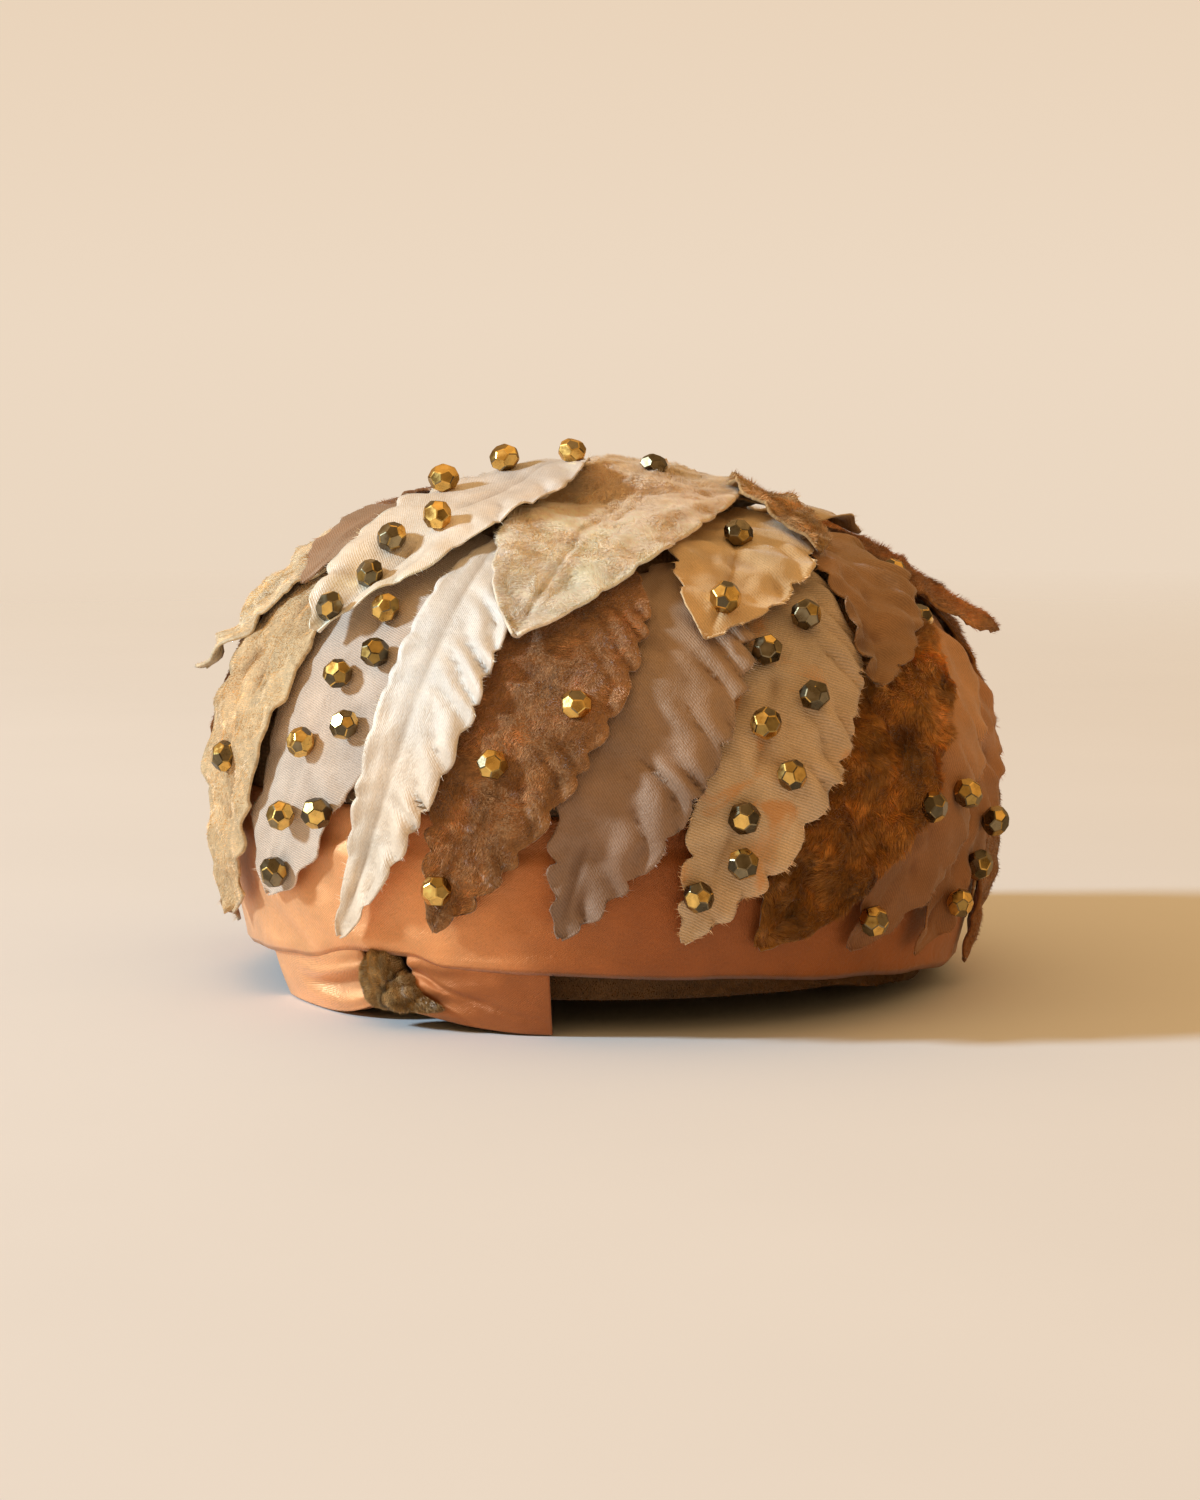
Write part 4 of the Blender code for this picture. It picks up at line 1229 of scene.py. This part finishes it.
def underband(cloths):
    """The velvet underband, furry where it shows at the front."""
    steps = 14

    def section(azimuths):
        foot, top = hem(azimuths, 2)[:, None], hem(azimuths, 1)[:, None] + 15
        v = np.linspace(0, 1, steps)[None, :]
        heights = foot + (top - foot) * v
        flat = round_wall(azimuths[:, None], heights)
        front = hump(azimuths[:, None], 60)
        soft = (0.5 * waves(flat, 16.0, 8) + 0.25 * waves(flat, 5.0, 9)) * front
        outer = -2.8 - 4.0 * (1 - v) + soft * ease(0, 0.2, 1 - v)
        inner = outer[:, ::-1] - 1.6
        return np.concatenate((heights, heights[:, ::-1]), 1), np.concatenate((outer, inner), 1)

    def shade(a, heights):
        flat = round_wall(a, heights)
        tone = 1 + 0.12 * waves(flat, 20.0, 23) + 0.1 * waves(flat, 5.0, 24)
        return np.clip(np.array(cloths.olive) * tone[..., None], 0, 1)

    azimuths = np.linspace(-180, 180, 240, endpoint=False)
    material = cloth_material("velvet_olive")
    band = wall_ring("velvet_underband_cloth", azimuths, section, shade, material)
    put_on(band, "velvet_olive", "velvet_underband")
    front = np.linspace(-34, 64, 130)
    heights, outs = (part[:, :steps] for part in section(front))
    points = on_wall(front[:, None], heights, outs)
    lean = points * np.array((1, 1, 0)) / WALL_REACH + np.array((0, 0, -0.5))
    bare = ease(2.0, 0.0, heights - hem(front, 1)[:, None])
    values = (lean, bare, shade(front[:, None], heights), UNDERBAND_PILE, "velvet_olive", 82)
    fur = grow("velvet_underband_pile", points, grid_faces(*heights.shape), *values)
    put_on(fur, "velvet_olive")


def ribbon_height(foot, azimuth, level):
    """Heights of the bow's ribbon, from its foot to just over the band's edge."""
    return foot + (hem(azimuth, 1) + 1.2 - foot) * level


def bow_ribbon(name, azimuth, z, out, flat, shade):
    """A piece of the bow's ribbon laid on the wall."""
    points = on_wall(azimuth, z, out)
    material = bpy.data.materials["copper_satin"]
    made = two_sided(f"{name}_cloth", points, RIBBON_WALL, as_lay(flat), shade, material)
    return put_on(made, "satin_copper", name)


def bow_loop(cloths):
    """A flat loop of ribbon with a folded outer end, gathered at the knot."""
    u = np.linspace(0, 1, 110)[None, :]
    level = 1 - np.linspace(0, 1, 36)[:, None]
    turn = 2 * math.pi * u
    across, away = np.cos(turn), -np.sin(turn)
    reach = np.sign(across) * np.abs(across) ** 0.6
    front = ease(-0.2, 0.4, away)
    azimuth = (LOOP_FROM + LOOP_TO) / 2 + (LOOP_TO - LOOP_FROM) / 2 * reach
    near = ease(-0.5, 0.95, reach)
    z = ribbon_height(0.4 + 4.0 * np.maximum(reach, 0) ** 3, azimuth, level)
    azimuth = azimuth + 1.4 * (1 - level) * (1 - ease(-1, 0.2, reach))
    body = np.sign(away) * np.abs(away) ** 0.5 * (1.7 + 1.6 * near)
    hollow = -3.4 * hump(level - 0.44, 0.06 + 0.12 * near) * ease(-0.3, 0.5, reach)
    upper = 0.9 * hump(level - 0.72 + 0.12 * near, 0.10) * ease(-0.8, 0.5, reach)
    fold = 0.35 * near**4 * np.cos((level - 0.4) * 26.0)
    flat = flat_grid(u * LOOP_TURN, z)
    wrinkle = 0.3 * waves(flat, 9.0, 61)
    tuck = ease(0.84, 1.0, level)
    out = -1.9 + body + (hollow + upper + fold + wrinkle) * front
    out = out * (1 - tuck) + np.where(away > 0, 1.0, -3.0) * tuck
    # The loop's colour carries the band's painted light, painted shade in its pinched hollow, and painted
    # shade that is lighter on wrinkle crests and darker in their troughs
    shade = copper_with_painted_light(cloths, azimuth + 0 * z, 1 + 0.05 * wrinkle + 0.1 * hollow * front)
    made = bow_ribbon("bow_loop", azimuth, z, out, flat, shade)


def bow_flap(cloths):
    """The ribbon's end, pleated at the knot and cut straight."""
    u = np.linspace(0, 1, 80)[None, :]
    level = 1 - np.linspace(0, 1, 40)[:, None]
    azimuth = FLAP_FROM + (FLAP_TO - FLAP_FROM) * u
    z = ribbon_height(0.4 + 4.0 * (1 - u) ** 2, azimuth, level)
    near = (1 - u) ** 1.6
    fold = 0.7 * np.cos((level - 0.45 * u) * 15.0) * near
    slant = -1.0 * hump(level - 0.70 + 0.55 * u, 0.06) * (1 - u) ** 0.9
    swell = 0.9 * np.sin(math.pi * u * 0.9) * (1 - level)
    flat = flat_grid(u * FLAP_REACH, z)
    wrinkle = 0.2 * waves(flat, 10.0, 62)
    tuck = ease(0.84, 1.0, level)
    out = np.maximum(0.9 + fold + slant + swell + wrinkle, -0.6) * (1 - tuck) + 1.0 * tuck
    # The end's colour carries the band's painted light, read 14 degrees further round, and painted shade
    # darker in the slanted crease and in wrinkle troughs
    shade = copper_with_painted_light(cloths, azimuth + 0 * z + 14, 1 + 0.05 * wrinkle + 0.08 * slant)
    made = bow_ribbon("bow_flap", azimuth + 0 * level, z, out, flat, shade)


def bow_knot(cloths):
    """The velvet wrap: an upright roll over a lower one, ridged and furry."""
    rows, columns = 72, 100
    fall = np.linspace(0.02, 0.98, rows)[:, None] * math.pi
    turn = np.linspace(-math.pi, math.pi, columns, endpoint=False)[None, :]
    x = np.sin(fall) * np.sin(turn)
    y = -np.sin(fall) * np.cos(turn)
    z = np.cos(fall) + 0 * turn
    way = np.stack((x, y, z), -1)

    def roll(middle, size):
        """How far a roll reaches each way from the knot's middle."""
        a = ((way / size) ** 2).sum(-1)
        b = (way * middle / np.square(size)).sum(-1)
        c = np.square(np.array(middle) / size).sum() - 1
        inside = b**2 - a * c
        hit = (inside > 0) & ((b > 0) | (c < 0))
        return np.where(hit, (b + np.sqrt(np.maximum(inside, 0))) / a, 0)

    upright = roll((-2.8, 0, 0.8), (6.8, 5.6, 9.0)) + 0.8 * np.abs(np.sin(x * 6.4 + z * 1.5 + 0.5))
    lower = roll((3.2, 0.4, -2.8), (6.6, 5.4, 5.8)) + 0.8 * np.abs(np.sin(z * 6.5 - x * 3.0))
    tail = roll((8.6, 0.4, -6.2), (9.0, 2.8, 1.7))
    reach = (upright**7 + lower**7) ** (1 / 7) - 0.9
    reach = np.maximum(reach + 0.4 * waves(way, 0.3, 17), tail)
    ball = way * reach[..., None]
    turned = spin(math.radians(KNOT_AZIMUTH)).T
    top = hem(np.array(KNOT_AZIMUTH), 1) - 0.5
    points = ball @ turned + on_wall(np.array(KNOT_AZIMUTH), top - 6.8, np.array(1.0))
    points[..., 2] = np.maximum(points[..., 2], 0.2)
    faces = grid_faces(rows, columns, wrap=(0, 1)).tolist()
    faces.append(list(range(columns)))
    faces.append(list(range((rows - 1) * columns, rows * columns))[::-1])
    made = new_object("bow_knot_cloth", points, faces, cloth_material("velvet_olive"))
    # Painted shade: darker in the crevice where the upright and lower rolls meet
    painted_crevice_shade = hump(upright - lower, 0.5)
    shade = np.array(cloths.olive) * KNOT_TONE * (1 - 0.7 * painted_crevice_shade[..., None])
    shade = np.clip(shade * (1 + 0.25 * waves(way, 0.25, 18))[..., None], 0, 1)
    add_fields(made, lay=ball, shade=shade)
    put_on(made, "velvet_olive", "bow_knot")
    lean = way @ turned + 0.6 * np.stack([waves(way, 0.5, 71 + k) for k in range(3)], -1)
    values = (lean, ease(-0.2, 0.3, -y), shade * 1.25, KNOT_PILE, "velvet_olive", 81)
    put_on(grow("bow_knot_pile", points, grid_faces(rows, columns), *values), "velvet_olive")


def stage_floor(colour):
    """A wide pale floor that melts into the background far off."""
    n = Surface("floor_paper")
    where = n.coordinates()
    fade = n.ramp(n.vectors("LENGTH", where).outputs["Value"], 0.7, 1.7)
    n.finish(
        Base_Color=n.scaled(n.plain(colour), n.ramp(n.noise(where, 6.0), 0.3, 0.7, 0.985, 1.01)),
        Roughness=0.9,
        Specular_IOR_Level=0.1,
    )
    clear = n.add("ShaderNodeBsdfTransparent").outputs[0]
    mix = n.add("ShaderNodeMixShader", fade, n.shader.outputs[0], clear)
    n.join(mix.outputs[0], n.tree.nodes["Material Output"].inputs["Surface"])
    corners = [(x * FLOOR_HALF, y * FLOOR_HALF, 0) for x, y in ((-1, -1), (1, -1), (1, 1), (-1, 1))]
    new_object("floor", corners, [(0, 1, 2, 3)], n.material)


def stage_light(power):
    """A window of light, low on the left."""
    data = bpy.data.lights.new("key", "AREA")
    data.shape = "DISK"
    data.size = KEY_SIZE
    data.energy = power
    data.color = KEY_COLOUR
    light = linked("key", data)
    azimuth, height = math.radians(KEY_AZIMUTH), math.radians(KEY_HEIGHT)
    light.location = (
        KEY_FAR * math.cos(height) * math.sin(azimuth),
        -KEY_FAR * math.cos(height) * math.cos(azimuth),
        KEY_FAR * math.sin(height) + KEY_AIM,
    )
    aim = Vector((0, 0, KEY_AIM)) - light.location
    light.rotation_euler = aim.to_track_quat("-Z", "Y").to_euler()


def stage_world(overhead, around):
    """Warm light all round, and the paler backdrop that the camera sees."""
    world = bpy.data.worlds.new("studio")
    bpy.context.scene.world = world
    world.use_nodes = True
    n = Nodes(world.node_tree)
    up = n.add("ShaderNodeSeparateXYZ", n.coordinates("Generated")).outputs[2]
    lit = n.tree.nodes["Background"]
    n.join(n.mixed(up, (*around, 1), (*overhead, 1)), lit.inputs[0])
    ramp = n.add("ShaderNodeValToRGB", n.maths("MULTIPLY_ADD", up, 0.5, 0.5))
    stops = ramp.color_ramp.elements
    stops.new(0.5)
    for stop, (place, shade) in zip(stops, BACKDROP):
        stop.position = place
        stop.color = (*shade, 1)
    seen = n.add("ShaderNodeBackground", ramp.outputs[0]).outputs[0]
    camera_ray = n.add("ShaderNodeLightPath").outputs["Is Camera Ray"]
    mix = n.add("ShaderNodeMixShader", camera_ray, lit.outputs[0], seen)
    n.join(mix.outputs[0], n.tree.nodes["World Output"].inputs[0])


def stage_camera():
    """A long lens, a little above the hat."""
    data = bpy.data.cameras.new("camera")
    data.lens, data.sensor_width = 85.0, 36.0
    camera = linked("camera", data)
    tilt = math.radians(CAMERA_TILT)
    back = Vector((0, -CAMERA_FAR * math.cos(tilt), CAMERA_FAR * math.sin(tilt)))
    camera.location = Vector(CAMERA_AIM) + back
    camera.rotation_euler = (math.pi / 2 - tilt, 0, 0)
    bpy.context.scene.camera = camera


class HAT_OT_crown(bpy.types.Operator):
    """Gives the crown its stiffened cloth."""

    bl_idname = "hat.crown"
    bl_label = "Crown cloth"

    def execute(self, context):
        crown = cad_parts["crown"]
        material = crown_material("crown_cloth_weave", context.scene.hat_cloths.crown)
        crown.data.materials.clear()
        crown.data.materials.append(material)
        return {"FINISHED"}


class HAT_OT_leaves(bpy.types.Operator):
    """Makes every leaf, with the pile of the velvet ones."""

    bl_idname = "hat.leaves"
    bl_label = "Leaves"

    def execute(self, context):
        cloths = context.scene.hat_cloths
        trees = {leaf.name: node_tree_of(leaf.name) for leaf in LEAVES}
        for number, leaf in enumerate(LEAVES):
            stand = cad_stand(leaf, trees[leaf.name])
            later = [trees[other.name] for other in LEAVES[number + 1 :]]
            bare = free_share(leaf, stand, later)
            piece, laid = make_leaf(leaf, number, stand, bare, cloths)
            put_on(piece, leaf.cloth, leaf.name)
            stack.add(leaf.name, laid.top)
            fibres = leaf_pile(laid) if is_velvet(leaf) else leaf_fray(laid)
            extra = [put_on(fibres, leaf.cloth)]
        stack.close()
        return {"FINISHED"}


class HAT_OT_beads(bpy.types.Operator):
    """Sews faceted beads on the leaves."""

    bl_idname = "hat.beads"
    bl_label = "Beads"

    def execute(self, context):
        beads = context.scene.hat_beads
        radius = beads.radius / MM
        make = (beads, np.random.default_rng(beads.seed), bead_template(), metal_material("bead_metal"))
        for prefix, table in LOOSE_BEADS.items():
            for number, (azimuth, fall, gold) in enumerate(table, 1):
                node = f"{prefix}_{number}"
                middle, axis, _ = stack.seat(towards(azimuth, fall), radius, LOOSE_SINK)
                made = make_beads(f"{node}_cut", [(middle, axis, gold)], *make)
                put_on(made, "bead_gold" if gold > 0.5 else "bead_pewter", node)
        spots = [(towards(azimuth, fall), gold) for azimuth, fall, gold in SEWN_BEADS]
        for leaf in LEAVES:
            if leaf.name in BEHIND_BEADED:
                spots += [(leaf_ways(leaf, np.array(t), np.array(0.0)), 0.5) for t in BEHIND_BEADS_ALONG]
        groups = {}
        velvets = [leaf.name for leaf in LEAVES if is_velvet(leaf)]
        for way, gold in spots:
            middle, axis, owner = stack.seat(way, radius, SEWN_SINK)
            if owner in velvets:
                middle = middle - way * VELVET_SINK
            groups.setdefault(owner, []).append((middle, axis, gold))
        for owner, found in groups.items():
            put_on(make_beads(f"{owner}_beads", found, *make), "bead_gold")
        return {"FINISHED"}


class HAT_OT_band(bpy.types.Operator):
    """Wraps the satin band and tucks up the velvet underband."""

    bl_idname = "hat.band"
    bl_label = "Band and underband"

    def execute(self, context):
        for make in (satin_band, underband):
            make(context.scene.hat_cloths)
        return {"FINISHED"}


class HAT_OT_bow(bpy.types.Operator):
    """Ties the bow: its gathered loop, straight-cut end and velvet knot."""

    bl_idname = "hat.bow"
    bl_label = "Bow"

    def execute(self, context):
        for make in (bow_loop, bow_flap, bow_knot):
            make(context.scene.hat_cloths)
        return {"FINISHED"}


class HAT_OT_stage(bpy.types.Operator):
    """Sets the floor, the light and the camera."""

    bl_idname = "hat.stage"
    bl_label = "Stage"

    def execute(self, context):
        stage = context.scene.hat_stage
        stage_floor(stage.floor)
        stage_light(stage.key)
        stage_world(stage.overhead, stage.around)
        stage_camera()
        context.scene.view_settings.view_transform = "Standard"
        return {"FINISHED"}


class HAT_PT_panel(bpy.types.Panel):
    """Lists the hat's settings and steps."""

    bl_idname = "HAT_PT_panel"
    bl_label = "Pillbox hat"
    bl_space_type = "VIEW_3D"
    bl_region_type = "UI"
    bl_category = "Hat"

    def draw(self, context):
        for group in ("hat_cloths", "hat_beads", "hat_stage"):
            settings = getattr(context.scene, group)
            box = self.layout.box()
            for name in settings.bl_rna.properties.keys():
                if name not in ("rna_type", "name"):
                    box.prop(settings, name)
        for step in STEPS:
            self.layout.operator(step.bl_idname)


STEPS = (HAT_OT_crown, HAT_OT_leaves, HAT_OT_beads, HAT_OT_band, HAT_OT_bow, HAT_OT_stage)
CLASSES = (HatCloths, HatBeads, HatStage, *STEPS, HAT_PT_panel)


def register():
    for cls in CLASSES:
        bpy.utils.register_class(cls)
    bpy.types.Scene.hat_cloths = PointerProperty(type=HatCloths)
    bpy.types.Scene.hat_beads = PointerProperty(type=HatBeads)
    bpy.types.Scene.hat_stage = PointerProperty(type=HatStage)


def unregister():
    del bpy.types.Scene.hat_stage
    del bpy.types.Scene.hat_beads
    del bpy.types.Scene.hat_cloths
    for cls in reversed(CLASSES):
        bpy.utils.unregister_class(cls)


def main():
    register()
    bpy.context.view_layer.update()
    bpy.ops.hat.crown()
    bpy.ops.hat.leaves()
    bpy.ops.hat.beads()
    bpy.ops.hat.band()
    bpy.ops.hat.bow()
    bpy.ops.hat.stage()


if __name__ == "__main__":
    main()
